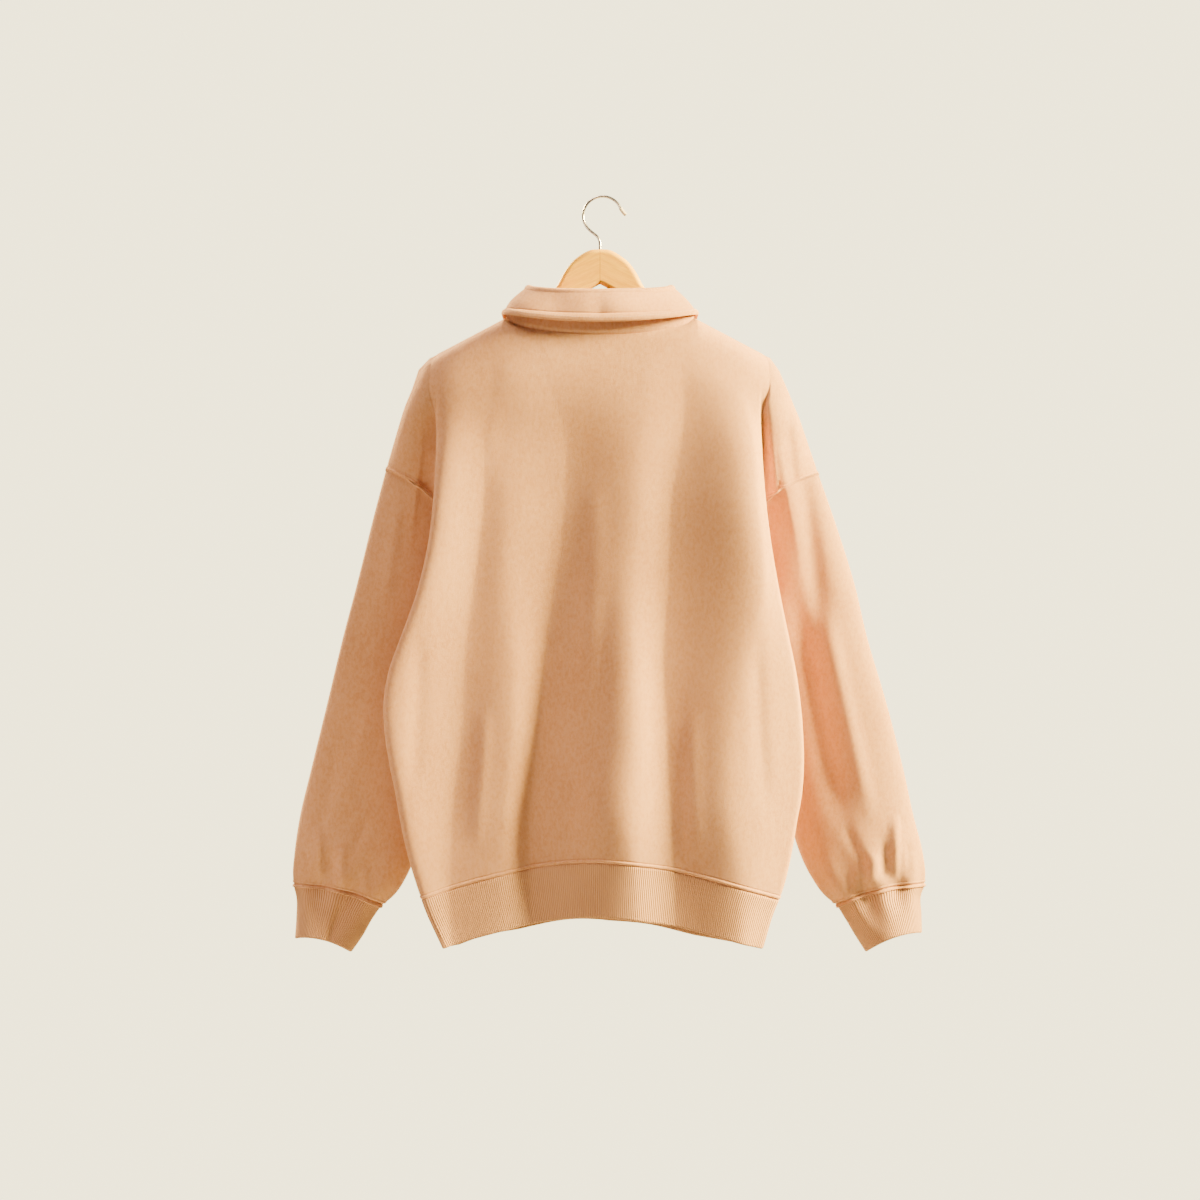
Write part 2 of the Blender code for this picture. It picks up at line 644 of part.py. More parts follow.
def add_garment():
    cloth = Cloth()
    add_body(cloth)
    for side in (LEFT, RIGHT):
        add_sleeve(cloth, side)
    normals = cloth.normals()
    for name, faces in cloth.faces.items():
        is_rib = name.startswith(("hem", "cuff"))
        thickness, finish = (RIB, "rib") if is_rib else (JERSEY, "jersey")
        wall(name, cloth, faces, normals, thickness, finish)
    return cloth, normals


def placket_faces(cloth):
    """The front panel's own faces that the placket lies on."""
    grid = []
    for row in range(PLACKET_FIRST_ROW, PLACKET_LAST_ROW + 1):
        ends = ((LEFT, 1), (LEFT, 0), (RIGHT, 1))
        grid.append([cloth.keys[body_key(side, column, row, False)] for side, column in ends])
    placket = Cloth()
    placket.patch("placket", grid, True)
    return placket.faces["placket"]


def add_placket(cloth, normals):
    faces = placket_faces(cloth)
    lift = JERSEY / 2 + SEAM_GAP + PLACKET_CLOTH / 2
    for name, way in (("placket_over", 1), ("placket_under", -1)):
        wall(name, cloth, faces, normals, PLACKET_CLOTH, "jersey", way * lift)


def add_buttons(cloth):
    """Turned discs with a dish in the face, on the middle line of the placket."""
    line = [
        cloth.points[cloth.keys[body_key(LEFT, 0, row, False)]]
        for row in range(PLACKET_LAST_ROW + 1)
    ]
    drops = [-point.z for point in line]
    depths = [point.y for point in line]
    base = JERSEY / 2 + SEAM_GAP + PLACKET_CLOTH + 2 * SEAM_GAP
    profile = (
        # radius, height above the placket
        (BUTTON_RADIUS - 0.0006, 0.0),
        (BUTTON_RADIUS, 0.0008),
        (BUTTON_RADIUS, BUTTON_HEIGHT - 0.0006),
        (BUTTON_RADIUS - 0.0006, BUTTON_HEIGHT),
        (BUTTON_DISH_RADIUS, BUTTON_HEIGHT),
        (BUTTON_DISH_RADIUS - 0.0006, BUTTON_HEIGHT - BUTTON_DISH_DEPTH),
    )
    for number, drop in enumerate(BUTTON_DROPS, 1):
        y = float(np.interp(drop, drops, depths)) + base
        points, faces = [], []
        for radius, height in profile:
            for i in range(BUTTON_SIDES):
                angle = 2 * math.pi * i / BUTTON_SIDES
                points.append((radius * math.sin(angle), height, radius * math.cos(angle)))
        for ring in range(len(profile) - 1):
            for i in range(BUTTON_SIDES):
                a, b = ring * BUTTON_SIDES + i, ring * BUTTON_SIDES + (i + 1) % BUTTON_SIDES
                faces.append((a, b, b + BUTTON_SIDES, a + BUTTON_SIDES))
        faces.append(tuple(reversed(range(BUTTON_SIDES))))
        last = (len(profile) - 1) * BUTTON_SIDES
        faces.append(tuple(last + i for i in range(BUTTON_SIDES)))
        button = make_object(f"button_{number}", points, faces, "button", 35)
        button.location = (CENTRE_X, y, -drop)


# --- Collar ----------------------------------------------------------------------------------------


def ring_point(angle, half_width, depths, drops, squareness=1.0, lean=1.0):
    """A point of an oval ring round the neck. The angle is 0 at the middle of the back."""
    forward = -math.cos(angle)  # -1 at the back, 1 at the front
    depth = depths[0] if forward < 0 else depths[1]
    middle_drop = drops[0] if forward < 0 else drops[2]
    x = CENTRE_X + half_width * math.sin(angle)
    y = depth * math.copysign(abs(forward) ** squareness, forward)
    return Vector((x, y, -mix(drops[1], middle_drop, abs(forward) ** lean)))


def collar_section(angle):
    """The collar from the stand's foot over the fold to the free edge, at one place round the neck."""
    neck_drops = (NECK_SIDE_DROP + NECK_BACK_FALL, NECK_SIDE_DROP, NECK_SIDE_DROP + NECK_FRONT_FALL)
    neck_depths = (NECK_BACK_DEPTH, NECK_FRONT_DEPTH)
    foot = ring_point(angle, NECK_HALF_WIDTH, neck_depths, neck_drops, NECK_SQUARENESS)
    foot.z += mix(COLLAR_SEAT_BACK, COLLAR_SEAT_SIDE, abs(math.sin(angle)) ** 3)
    fold = ring_point(
        angle,
        FOLD_HALF_WIDTH,
        (FOLD_BACK_DEPTH, FOLD_FRONT_DEPTH),
        (FOLD_BACK_DROP, FOLD_SIDE_DROP, FOLD_FRONT_DROP),
    )
    edge = ring_point(
        angle * FALL_TURN,
        FALL_HALF_WIDTH,
        (FALL_BACK_DEPTH, FALL_FRONT_DEPTH),
        (FALL_BACK_DROP, FALL_SIDE_DROP, FALL_FRONT_DROP),
        FALL_SQUARENESS,
        FALL_LEAN,
    )
    out = Vector((fold.x - CENTRE_X, fold.y, 0)).normalized()
    centre = fold - Vector((0, 0, FOLD_RADIUS))
    stand_top = centre - out * FOLD_RADIUS
    fall_top = centre + out * FOLD_RADIUS
    points = [foot.lerp(stand_top, i / STAND_STEPS) for i in range(STAND_STEPS)]
    for i in range(FOLD_STEPS + 1):
        turn = math.pi * i / FOLD_STEPS
        points.append(
            centre - out * FOLD_RADIUS * math.cos(turn) + Vector((0, 0, FOLD_RADIUS * math.sin(turn)))
        )
    for i in range(1, FALL_STEPS + 1):
        share = i / FALL_STEPS
        points.append(fall_top.lerp(edge, share) + out * FALL_BULGE * math.sin(math.pi * share))
    return points


def add_collar():
    last = math.pi - COLLAR_FRONT_GAP
    collar = Cloth()
    grid = []
    for column in range(COLLAR_COLUMNS + 1):
        turn = 2 * column / COLLAR_COLUMNS - 1
        turn += COLLAR_CROWDING * math.sin(2 * math.pi * turn) / (2 * math.pi)
        section = collar_section(last * turn)
        grid.append(
            [collar.add((column, i), (p.x, p.y, -p.z)) for i, p in enumerate(section)]
        )
    collar.patch("collar", grid, True)
    wall("collar", collar, collar.faces["collar"], collar.normals(), COLLAR_CLOTH, "jersey")


# --- Hanger ----------------------------------------------------------------------------------------


def hanger_outline():
    """The hanger's outline as (x, z), up over the right arm, round its end and back underneath."""
    arm_start = 0.112
    arm_top = NECK_SIDE_DROP + SHOULDER_SLOPE * (arm_start - NECK_HALF_WIDTH) + HANGER_UNDER_CLOTH
    end_top = arm_top + SHOULDER_SLOPE * (HANGER_HALF_WIDTH - arm_start)
    radius, tilt = HANGER_END_HEIGHT / 2, math.atan(SHOULDER_SLOPE)
    middle = (HANGER_HALF_WIDTH - radius * math.sin(tilt), end_top + radius * math.cos(tilt))
    end = [
        (middle[0] + radius * math.sin(turn), middle[1] - radius * math.cos(turn))
        for turn in np.linspace(tilt, math.pi, 6)
    ]
    half = [*HANGER_TOP, (arm_start, arm_top), *end, *reversed(HANGER_BOTTOM)]
    right = [(CENTRE_X + distance, -drop) for distance, drop in half]
    left = [(CENTRE_X - distance, -drop) for distance, drop in reversed(half[1:-1])]
    return right + left


def add_hanger():
    outline = hanger_outline()
    half = HANGER_THICKNESS / 2
    shape = bmesh.new()
    near = [shape.verts.new((x, -half, z)) for x, z in outline]
    face = shape.faces.new(near)
    moved = bmesh.ops.extrude_face_region(shape, geom=[face])["geom"]
    for vertex in (item for item in moved if isinstance(item, bmesh.types.BMVert)):
        vertex.co.y = half
    bmesh.ops.recalc_face_normals(shape, faces=shape.faces)
    rims = [edge for edge in shape.edges if abs(edge.verts[0].co.y - edge.verts[1].co.y) < half]
    bmesh.ops.bevel(
        shape, geom=rims, offset=HANGER_ROUNDING, segments=2, profile=0.6, affect="EDGES"
    )
    mesh = bpy.data.meshes.new("hanger_wood")
    shape.to_mesh(mesh)
    shape.free()
    mesh.materials.append(material("wood"))
    hanger = bpy.data.objects.new("hanger_wood", mesh)
    bpy.context.scene.collection.objects.link(hanger)
    bore = bmesh.new()
    bmesh.ops.create_cone(
        bore, cap_ends=True, segments=16, radius1=BORE_RADIUS, radius2=BORE_RADIUS, depth=0.040
    )
    cutter_mesh = bpy.data.meshes.new("bore_cutter")
    bore.to_mesh(cutter_mesh)
    bore.free()
    cutter = bpy.data.objects.new("bore_cutter", cutter_mesh)
    cutter.location = (CENTRE_X, 0, -BORE_END_DROP + 0.020)
    cutter.hide_render = True
    cutter.display_type = "WIRE"
    bpy.context.scene.collection.objects.link(cutter)
    cut = hanger.modifiers.new("bore", "BOOLEAN")
    cut.operation = "DIFFERENCE"
    cut.object = cutter
    mesh.shade_smooth()
    mesh.set_sharp_from_angle(angle=math.radians(40))


def add_hook():
    """Bent wire: a tip that turns out, most of a circle, a double bend and a straight end in the wood."""
    centre = (0.0, WIRE_RADIUS - HOOK_RADIUS)
    turns = np.linspace(HOOK_START, HOOK_END, HOOK_STEPS)
    circle = [
        (centre[0] + HOOK_RADIUS * math.cos(t), centre[1] + HOOK_RADIUS * math.sin(t)) for t in turns
    ]
    route = [*HOOK_TIP, *circle, *HOOK_NECK, (CENTRE_X, -WIRE_END_DROP)]
    data = bpy.data.curves.new("hanger_hook", "CURVE")
    data.dimensions = "3D"
    data.bevel_depth = WIRE_RADIUS
    data.bevel_resolution = 2
    data.use_fill_caps = True
    spline = data.splines.new("POLY")
    spline.points.add(len(route) - 1)
    for point, (x, z) in zip(spline.points, route):
        point.co = (x, 0, z, 1)
    data.materials.append(material("wire"))
    hook = bpy.data.objects.new("hanger_hook", data)
    bpy.context.scene.collection.objects.link(hook)


def main():
    clear_scene()
    cloth, normals = add_garment()
    add_placket(cloth, normals)
    add_buttons(cloth)
    add_collar()
    add_hanger()
    add_hook()


main()
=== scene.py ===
"""The looks of a long-sleeved polo sweater of heavy jersey on a wooden clothes hanger.

Metres, +Z up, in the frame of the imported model. The origin is the highest point inside the wire
hook. The back of the sweater faces -Y and its front faces +Y. Left and right are as seen from
behind. A drop is the distance below the origin.
"""

import math

import bmesh
import bpy
import numpy as np
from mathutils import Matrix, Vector


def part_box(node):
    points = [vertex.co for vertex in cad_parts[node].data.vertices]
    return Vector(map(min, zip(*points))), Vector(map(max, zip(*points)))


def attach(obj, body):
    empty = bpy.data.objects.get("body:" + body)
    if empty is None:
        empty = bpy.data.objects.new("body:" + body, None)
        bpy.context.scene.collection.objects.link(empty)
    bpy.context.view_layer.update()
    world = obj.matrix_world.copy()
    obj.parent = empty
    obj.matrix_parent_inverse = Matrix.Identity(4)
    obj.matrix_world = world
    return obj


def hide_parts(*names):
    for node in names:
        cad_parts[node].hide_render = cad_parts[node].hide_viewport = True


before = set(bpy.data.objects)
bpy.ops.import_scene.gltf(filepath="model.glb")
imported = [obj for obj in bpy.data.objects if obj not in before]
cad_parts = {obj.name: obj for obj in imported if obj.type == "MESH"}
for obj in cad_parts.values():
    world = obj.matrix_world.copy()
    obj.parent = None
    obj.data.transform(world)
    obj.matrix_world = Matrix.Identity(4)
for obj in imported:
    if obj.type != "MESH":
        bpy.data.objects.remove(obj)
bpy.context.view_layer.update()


def millimetres(*rows):
    """A table that is written in millimetres, in metres."""
    return np.array(rows) / 1000


CENTRE_X = -0.003  # the hanger hangs a little to the left of where it is held
LEFT, RIGHT = -1, 1

JERSEY = 0.002  # thickness of the body and sleeves
RIB = 0.0024
COLLAR_CLOTH = 0.0028
PLACKET_CLOTH = 0.0016
SEAM_GAP = 0.0003

# --- The body, from the shoulders to the hem ---

NECK_HALF_WIDTH = 0.105
NECK_SIDE_DROP = 0.1365  # below the origin
NECK_BACK_FALL, NECK_FRONT_FALL = 0.022, 0.0685  # from the side of the neck to its middle
NECK_BACK_DEPTH, NECK_FRONT_DEPTH = 0.036, 0.034
SHOULDER_SLOPE = 0.523
SHOULDER_WRAP = 0.0095  # half the depth of the fold that lies over the hanger

BACK_DEPTH, FRONT_DEPTH = 0.040, 0.034
DEPTH_REACH = 0.058  # how far below the shoulder the cloth comes forward
# how squarely the back turns at its edges: drop, left and right
BACK_SQUARENESS = (
    (0.150, 3.2, 3.2),
    (0.185, 2.2, 2.2),
    (0.230, 2.6, 2.6),
    (0.290, 5.0, 5.0),
    (0.350, 9.0, 8.0),
)
FRONT_SQUARENESS = 1.7

NECK_SQUARENESS = 0.5
NECK_COLUMNS = (0.0, 0.014, 0.032, 0.051, 0.069, 0.085, 0.097, 0.1048, NECK_HALF_WIDTH)
SHOULDER_STEPS = 5
EDGE_AT_TOP, CREASE_AT_TOP = 0.183, 0.191  # distances from the middle
SPREAD_ROWS = 5  # rows over which the columns become evenly spaced
TURN_STEPS = 3  # from the body's edge round to the crease or side seam
SLEEVE_STEPS = 8  # across one face of the sleeve

# drop below the origin, left edge, right edge, how far the edge lies towards the back
BODY_EDGE = (
    (0.182, 0.186, 0.180, 0.0085),
    (0.230, 0.186, 0.177, 0.014),
    (0.286, 0.186, 0.178, 0.017),
    (0.342, 0.189, 0.182, 0.019),
    (0.398, 0.196, 0.189, 0.021),
    (0.454, 0.210, 0.199, 0.022),
    (0.498, 0.226, 0.208, 0.023),
    (0.532, 0.238, 0.215, 0.024),
    (0.567, 0.244, 0.220, 0.025),
    (0.601, 0.243, 0.223, 0.025),
    (0.635, 0.238, 0.224, 0.025),
    (0.670, 0.231, 0.222, 0.024),
    (0.704, 0.225, 0.216, 0.024),
    (0.740, 0.217, 0.210, 0.023),
    (0.786, 0.203, 0.198, 0.021),
    (0.800, 0.198, 0.192, 0.021),
    (0.842, 0.179, 0.179, 0.020),
)

# The crease between body and sleeve, and the side seam below it:
# drop, how far inside the body's edge, y on the back, y on the front
CREASE = (
    (0.182, -0.008, -0.0085, 0.0085),
    (0.215, 0.002, -0.010, 0.013),
    (0.250, 0.008, -0.010, 0.018),
    (0.310, 0.016, -0.006, 0.018),
    (0.358, 0.018, 0.002, 0.002),
    (0.450, 0.027, -0.003, -0.003),
    (0.567, 0.032, -0.006, -0.006),
    (0.650, 0.028, -0.007, -0.007),
    (0.740, 0.019, -0.009, -0.009),
    (0.842, 0.010, -0.010, -0.010),
)

# at the middle of the back, and how much lower its corners are
HEM_DROP, HEM_CORNER_FALL = 0.745, 0.0435
RIB_HEIGHT, RIB_CORNER_FALL = 0.060, 0.037
HEM_CURVE = 1.6
# how much lower the front hangs, and how much more so on the right
FRONT_HEM_FALL, FRONT_HEM_LEAN = 0.0125, 0.5

# Fractions of the way from shoulder to hem; the sleeve leaves the body at the UNDERARM row
BODY_ROWS = (0.0, 0.002, 0.0085, 0.03, 0.07, 0.12, 0.17, 0.215, 0.255, 0.290)
UNDERARM = len(BODY_ROWS) - 1
BODY_ROWS += tuple(0.290 + 0.710 * step / 13 for step in range(1, 14))

# The largest folds of each panel: the drops at which each line is given, then for each line its x
# and how far it stands off the panel there. A line is a ridge or a valley.
BACK_FOLD_DROPS = millimetres(170, 200, 230, 263, 342, 431, 521, 610, 700, 767, 842)
BACK_FOLDS = millimetres(
    (
        (-121.5, -123.8, -124.9, -129.4, -132.7, -142.8, -154, -157.4, -168.6, -170.8, -168.6),
        (0, -0.4, -1.8, -3.8, -7.2, -9.2, -9.3, -10.2, -9.3, -6.8, -6),
    ),
    (
        (-101.4, -102.5, -104.7, -105.8, -104.7, -108.1, -102.5, -103.6, -111.4, -114.8, -114.8),
        (0, 0, -1.7, -4.3, -6, -6.8, -5.5, -4.7, -4.3, -3.4, -3.4),
    ),
    (
        (-70, -65.5, -55.4, -44.2, -42, -52.1, -64.4, -73.4, -83.4, -81.2, -79),
        (0, -0.5, -2.2, -4.8, -9.2, -12.2, -13.4, -13.6, -13.8, -10.4, -8.4),
    ),
    (
        (47.6, 45.4, 43.1, 39.8, 38.6, 29.7, 30.8, 30.8, 25.2, 33, 33),
        (0, 0.8, 0.8, 0, -0.8, 0, 5.1, 11, 15.3, 11.9, 10.2),
    ),
    (
        (86.8, 89, 90.2, 89, 76.7, 73.4, 67.8, 72.2, 76.7, 80.1, 80.1),
        (0, -0.2, -1.2, -2.7, -5, -6, -3.6, 1.2, 4.3, 2.5, 2.5),
    ),
    (
        (126, 129.4, 148.4, 163, 170.8, 176.4, 159.6, 142.8, 140.6, 149.5, 149.5),
        (0, 0.8, 2.5, 5.1, 6.8, 6.8, 7.6, 11, 13.6, 11, 9.3),
    ),
)
FRONT_FOLD_DROPS = millimetres(200, 260, 430, 565, 655, 735, 842)
FRONT_FOLDS = millimetres(
    (
        (-120, -120, -128, -140, -146, -150, -135),
        (0, 1, 4, 6, 7, 7, 4),
    ),
    (
        (-78, -80, -86, -94, -100, -104, -94),
        (0, -1, -4, -7, -8, -9, -5),
    ),
    (
        (-30, -30, -34, -38, -42, -44, -40),
        (0, 0, 3, 5, 6, 6, 4),
    ),
    (
        (18, 18, 14, 10, 8, 6, 6),
        (0, 0, -2, -5, -6, -7, -4),
    ),
    (
        (75, 75, 70, 64, 60, 60, 56),
        (0, 1, 4, 7, 8, 8, 5),
    ),
    (
        (118, 118, 118, 116, 114, 114, 104),
        (0, -1, -3, -5, -6, -6, -4),
    ),
)

# --- The sleeves and cuffs ---

# The fold down the outside of the dropped shoulder: drop, distance from x = 0
SHOULDER_FOLD = {
    LEFT: ((0.195, 0.207), (0.224, 0.217), (0.254, 0.2275), (0.286, 0.238), (0.306, 0.2445)),
    RIGHT: ((0.197, 0.199), (0.229, 0.213), (0.262, 0.226), (0.290, 0.236), (0.311, 0.2435)),
}
SHOULDER_FOLD_Y = 0.012  # at the armhole
BACK_BULGE, FRONT_BULGE = 0.005, 0.022  # of the dropped shoulder at the armhole
ARMHOLE_BOW = 0.007  # how far the armhole seam arches above a straight line
BACK_DIP = 0.005  # how far the shoulder dips behind the body's edge next to the underarm

# drop at the outer fold, left and right distance of the outer fold from x = 0, width across, half
# the depth, y of the middle, how much further towards +Y the inner fold is, how much lower it is
SLEEVE_SECTIONS = (
    (0.306, 0.2445, 0.2420, 0.078, 0.016, 0.007, 0.000, 0.060),
    (0.363, 0.2595, 0.2620, 0.090, 0.018, 0.018, 0.014, 0.055),
    (0.437, 0.2775, 0.2850, 0.114, 0.020, 0.020, 0.020, 0.048),
    (0.496, 0.2930, 0.2990, 0.122, 0.020, 0.022, 0.024, 0.044),
    (0.567, 0.3100, 0.3200, 0.126, 0.020, 0.023, 0.025, 0.040),
    (0.645, 0.3290, 0.3400, 0.128, 0.021, 0.022, 0.023, 0.035),
    (0.700, 0.3420, 0.3520, 0.130, 0.023, 0.020, 0.018, 0.032),
    (0.740, 0.3480, 0.3620, 0.124, 0.024, 0.018, 0.012, 0.028),
    (0.765, 0.3500, 0.3650, 0.111, 0.020, 0.016, 0.006, 0.025),
    (0.777, 0.3490, 0.3640, 0.097, 0.0155, 0.015, 0.004, 0.024),
    (0.790, 0.3460, 0.3600, 0.085, 0.017, 0.015, 0.004, 0.023),
    (0.815, 0.3460, 0.3605, 0.073, 0.020, 0.015, 0.002, 0.019),
    (0.838, 0.3475, 0.3610, 0.062, 0.023, 0.015, 0.000, 0.014),
)
SLANT_CURVE = 2.2  # how unevenly the rows fall towards the inner fold at the cuff
CUFF_END_SHIFT = {LEFT: -0.001, RIGHT: -0.007}  # of the outer fold's end
CUFF_END_ARCH = 0.005  # how much higher the cuff's end is on the back
ARMHOLE_DROP, CUFF_SEAM_DROP, CUFF_END_DROP = 0.306, 0.777, 0.838
SLEEVE_ROWS = (0.0, 0.017, 0.05, *np.linspace(0.1, 1.0, 14))  # shares of the way to the cuff
ARMHOLE_REACH = 0.27  # the share over which the armhole's shape turns into the sleeve's
UNDERARM_CLEAR_X, UNDERARM_CLEAR_Y = 0.005, 0.006  # how fast the inner fold leaves the side seam
GATHER_COUNT, GATHER_HEIGHT, GATHER_REACH = 4, 0.0022, 0.070
GATHER_DROP = CUFF_SEAM_DROP - 0.012  # where the gathers are deepest

# --- The collar ---

COLLAR_CROWDING = 0.6  # how much closer the columns are at the sides of the neck
COLLAR_FRONT_GAP = math.radians(2.5)  # from the middle of the front to each end
COLLAR_SEAT_BACK, COLLAR_SEAT_SIDE = 0.0004, 0.0026  # from the neck's edge up to the stand's foot
FOLD_HALF_WIDTH, FOLD_BACK_DEPTH, FOLD_FRONT_DEPTH = 0.080, 0.035, 0.040
FOLD_BACK_DROP, FOLD_SIDE_DROP, FOLD_FRONT_DROP = 0.1085, 0.0995, 0.166
FOLD_RADIUS = 0.0042
FALL_HALF_WIDTH, FALL_BACK_DEPTH, FALL_FRONT_DEPTH = 0.109, 0.048, 0.050
FALL_BACK_DROP, FALL_SIDE_DROP, FALL_FRONT_DROP = 0.1445, 0.1335, 0.238
FALL_TURN = 0.888  # the share of the way round at which the fall's free edge stops
FALL_SQUARENESS, FALL_LEAN = 0.45, 1.6
FALL_BULGE = 0.003

# --- The placket and buttons ---

PLACKET_FIRST_ROW, PLACKET_LAST_ROW = 1, 8
BUTTON_SIDES, HOLE_SIDES = 48, 14
BUTTON_RINGS = (  # radius, height
    (0.0050, 0.0), (0.0055, 0.0002), (0.0058, 0.0008), (0.0058, 0.0020), (0.0055, 0.0026),
    (0.0049, 0.0028), (0.0041, 0.0027), (0.0034, 0.0021), (0.0024, 0.0020),
)
BUTTON_DISH_HEIGHT = 0.0020  # of the dished face, where the thread lies
BUTTON_HOLES = ((-1, -1), (-1, 1), (1, -1), (1, 1))  # in steps of HOLE_OFFSET from the middle
THREAD_ARCH = 0.0006  # how far the thread rises between two holes

# --- The hanger ---

HANGER_THICKNESS, HANGER_ROUNDING = 0.012, 0.005
HANGER_ARM_START = 0.112  # from the middle, where the arm runs straight
# distance from the middle, drop of the top edge
HANGER_TOP = (
    (0.000, 0.0583), (0.011, 0.0593), (0.0225, 0.0652), (0.034, 0.0750), (0.041, 0.0848),
    (0.0485, 0.0990), (0.062, 0.1120), (0.080, 0.1250), (0.100, 0.1374),
)
HANGER_UNDER_CLOTH = 0.0020  # from the middle of the cloth's thickness down to the wood
HANGER_HALF_WIDTH, HANGER_END_HEIGHT = 0.177, 0.016
# distance from the middle, drop of the bottom edge
HANGER_BOTTOM = (
    (0.000, 0.0974), (0.0145, 0.1055), (0.050, 0.1270), (0.105, 0.1560), (0.150, 0.1795),
)

WIRE_RADIUS = 0.0015
WIRE_END_DROP = 0.0836
HOOK_RADIUS = 0.022  # to the middle of the wire
HOOK_START, HOOK_END = math.radians(22), math.radians(203)
HOOK_POINTS = 150
HOOK_TIP = ((0.0262, -0.0196), (0.0236, -0.0168))  # x and z, where the wire turns out to its tip
HOOK_NECK = (  # x and z, from the round part down to the wood
    (-0.0176, -0.0335), (-0.0140, -0.0372), (-0.0098, -0.0406), (-0.0062, -0.0437),
    (-0.0040, -0.0472), (-0.0031, -0.0510), (-0.0030, -0.0560),
)

# --- Fine form, which the solids leave out ---

BACK_FOLD_SCALE = 1.45
NECK_CALM_REACH, NECK_CALM_END, NECK_CALM_WIDTH = 0.008, 0.150, 0.100
NECK_CORNER_RADIUS, NECK_CORNER_START = 0.020, 1.1
YOKE_DEPTH = 0.029
YOKE_SQUARENESS, YOKE_END, YOKE_FADE = 6.5, 0.205, 0.075
VALLEY_SHARPNESS = 0.35  # how much sharper the valleys of the large folds are than their ridges
SLEEVE_SQUARENESS = {LEFT: 0.62, RIGHT: 0.9}  # below 1, the sleeve's faces are flatter
SLEEVE_TUCK = {LEFT: 0.9, RIGHT: 0.62}  # how much of the tuck behind the body is left
FRONT_FOLD_SCALE = 1.8
FRONT_FOLD_ENDS = (-0.05, 0.06)  # where the folds run out, past the first and the last line
BACK_FOLD_FADE, FRONT_FOLD_FADE = 24, 8  # how late the folds fade towards the panel's edge
TURN_BEND_Y, TURN_BEND_Z = 0.7, 0.5  # where the turn at the body's edge bends, from edge to crease
CREASE_FACE = 3  # how close to its side folds a face of the sleeve has its creases
CREASE_TAPER = 0.3  # the share of a crease over which it fades at each end
COLUMN_PARTS, TURN_PARTS = 8, 5  # mesh columns to one column of the solid
SLEEVE_PARTS = 56  # mesh columns across one face of a sleeve
WRAP_ROWS, RIB_ROWS = 8, 40  # mesh rows round the hanger and down the hem's rib
HEM_LENGTH, SLEEVE_LENGTH = 0.62, 0.47  # along the cloth, from shoulder to hem and armhole to cuff
CUT_STRETCH = 1.28  # the panel's width in the flat cut, over its distance between the columns
SHOULDER_CUT_STEP, SLEEVE_CUT_WIDTH = 0.012, 0.13  # in the flat cut
# Bands of relief beside a seam: distance from it, half the width, height (below 0 for a groove).
# The turned allowance is a tuck at the seam, a raised roll and a stitched line.
SEAM_BANDS = ((0.0, 0.0011, -0.0019), (0.0023, 0.0013, 0.0009), (0.0045, 0.0008, -0.0008))
ARMHOLE_BANDS = (*SEAM_BANDS, (0.0080, 0.0008, -0.0008))
RIB_BANDS = ((0.0, 0.0012, -0.0019),)  # on the rib's side of its seam

# Creases between the large folds: start x and drop, end x and drop, height (below 0 for a trough),
# width on the left, width on the right, bow to the right
BACK_CREASES = millimetres(
    (-10, 300, -16, 520, 1.2, 16, 14, 3),
    (8, 420, -4, 660, -1.2, 12, 16, -3),
    (-130, 560, -142, 740, 1.4, 10, 8, 2),
    (100, 560, 104, 760, 1.4, 9, 11, -2),
    (-30, 640, -40, 745, -1.2, 8, 12, 0),
    (-205, 470, -214, 690, -1.6, 10, 10, 3),
    (172, 470, 182, 700, -1.8, 10, 8, -3),
)
FRONT_CREASES = millimetres(
    (-150, 230, -50, 360, -2.2, 12, 7, -6),
    (152, 230, 50, 350, -2.2, 7, 12, 6),
    (-165, 300, -90, 450, -1.8, 10, 6, -5),
    (160, 310, 98, 470, -1.8, 6, 10, 5),
    (-60, 420, -66, 700, 1.8, 10, 7, 3),
    (40, 400, 36, 640, -1.4, 7, 12, -3),
    (92, 540, 88, 770, 1.8, 7, 10, 2),
    (-120, 560, -122, 760, -1.6, 9, 6, 0),
    (-12, 560, -10, 760, 1.4, 9, 9, 2),
    (-185, 480, -180, 700, -1.4, 8, 8, -3),
    (172, 470, 170, 690, -1.4, 8, 8, 3),
)
SHOULDER_CREASES = {
    LEFT: millimetres(
        (-204, 205, -238, 345, 4.5, 12, 18, 0),
        (-179, 235, -200, 350, -4, 18, 9, 0),
    ),
    RIGHT: millimetres(
        (183, 205, 200, 370, 7.5, 6, 18, 0),
        (212, 225, 226, 345, 2, 6, 10, 0),
    ),
}
SHOULDER_FRONT_CREASES = {
    LEFT: millimetres((-190, 230, -222, 330, -1.6, 7, 7, 2)),
    RIGHT: millimetres((186, 230, 220, 330, -1.6, 7, 7, -2)),
}
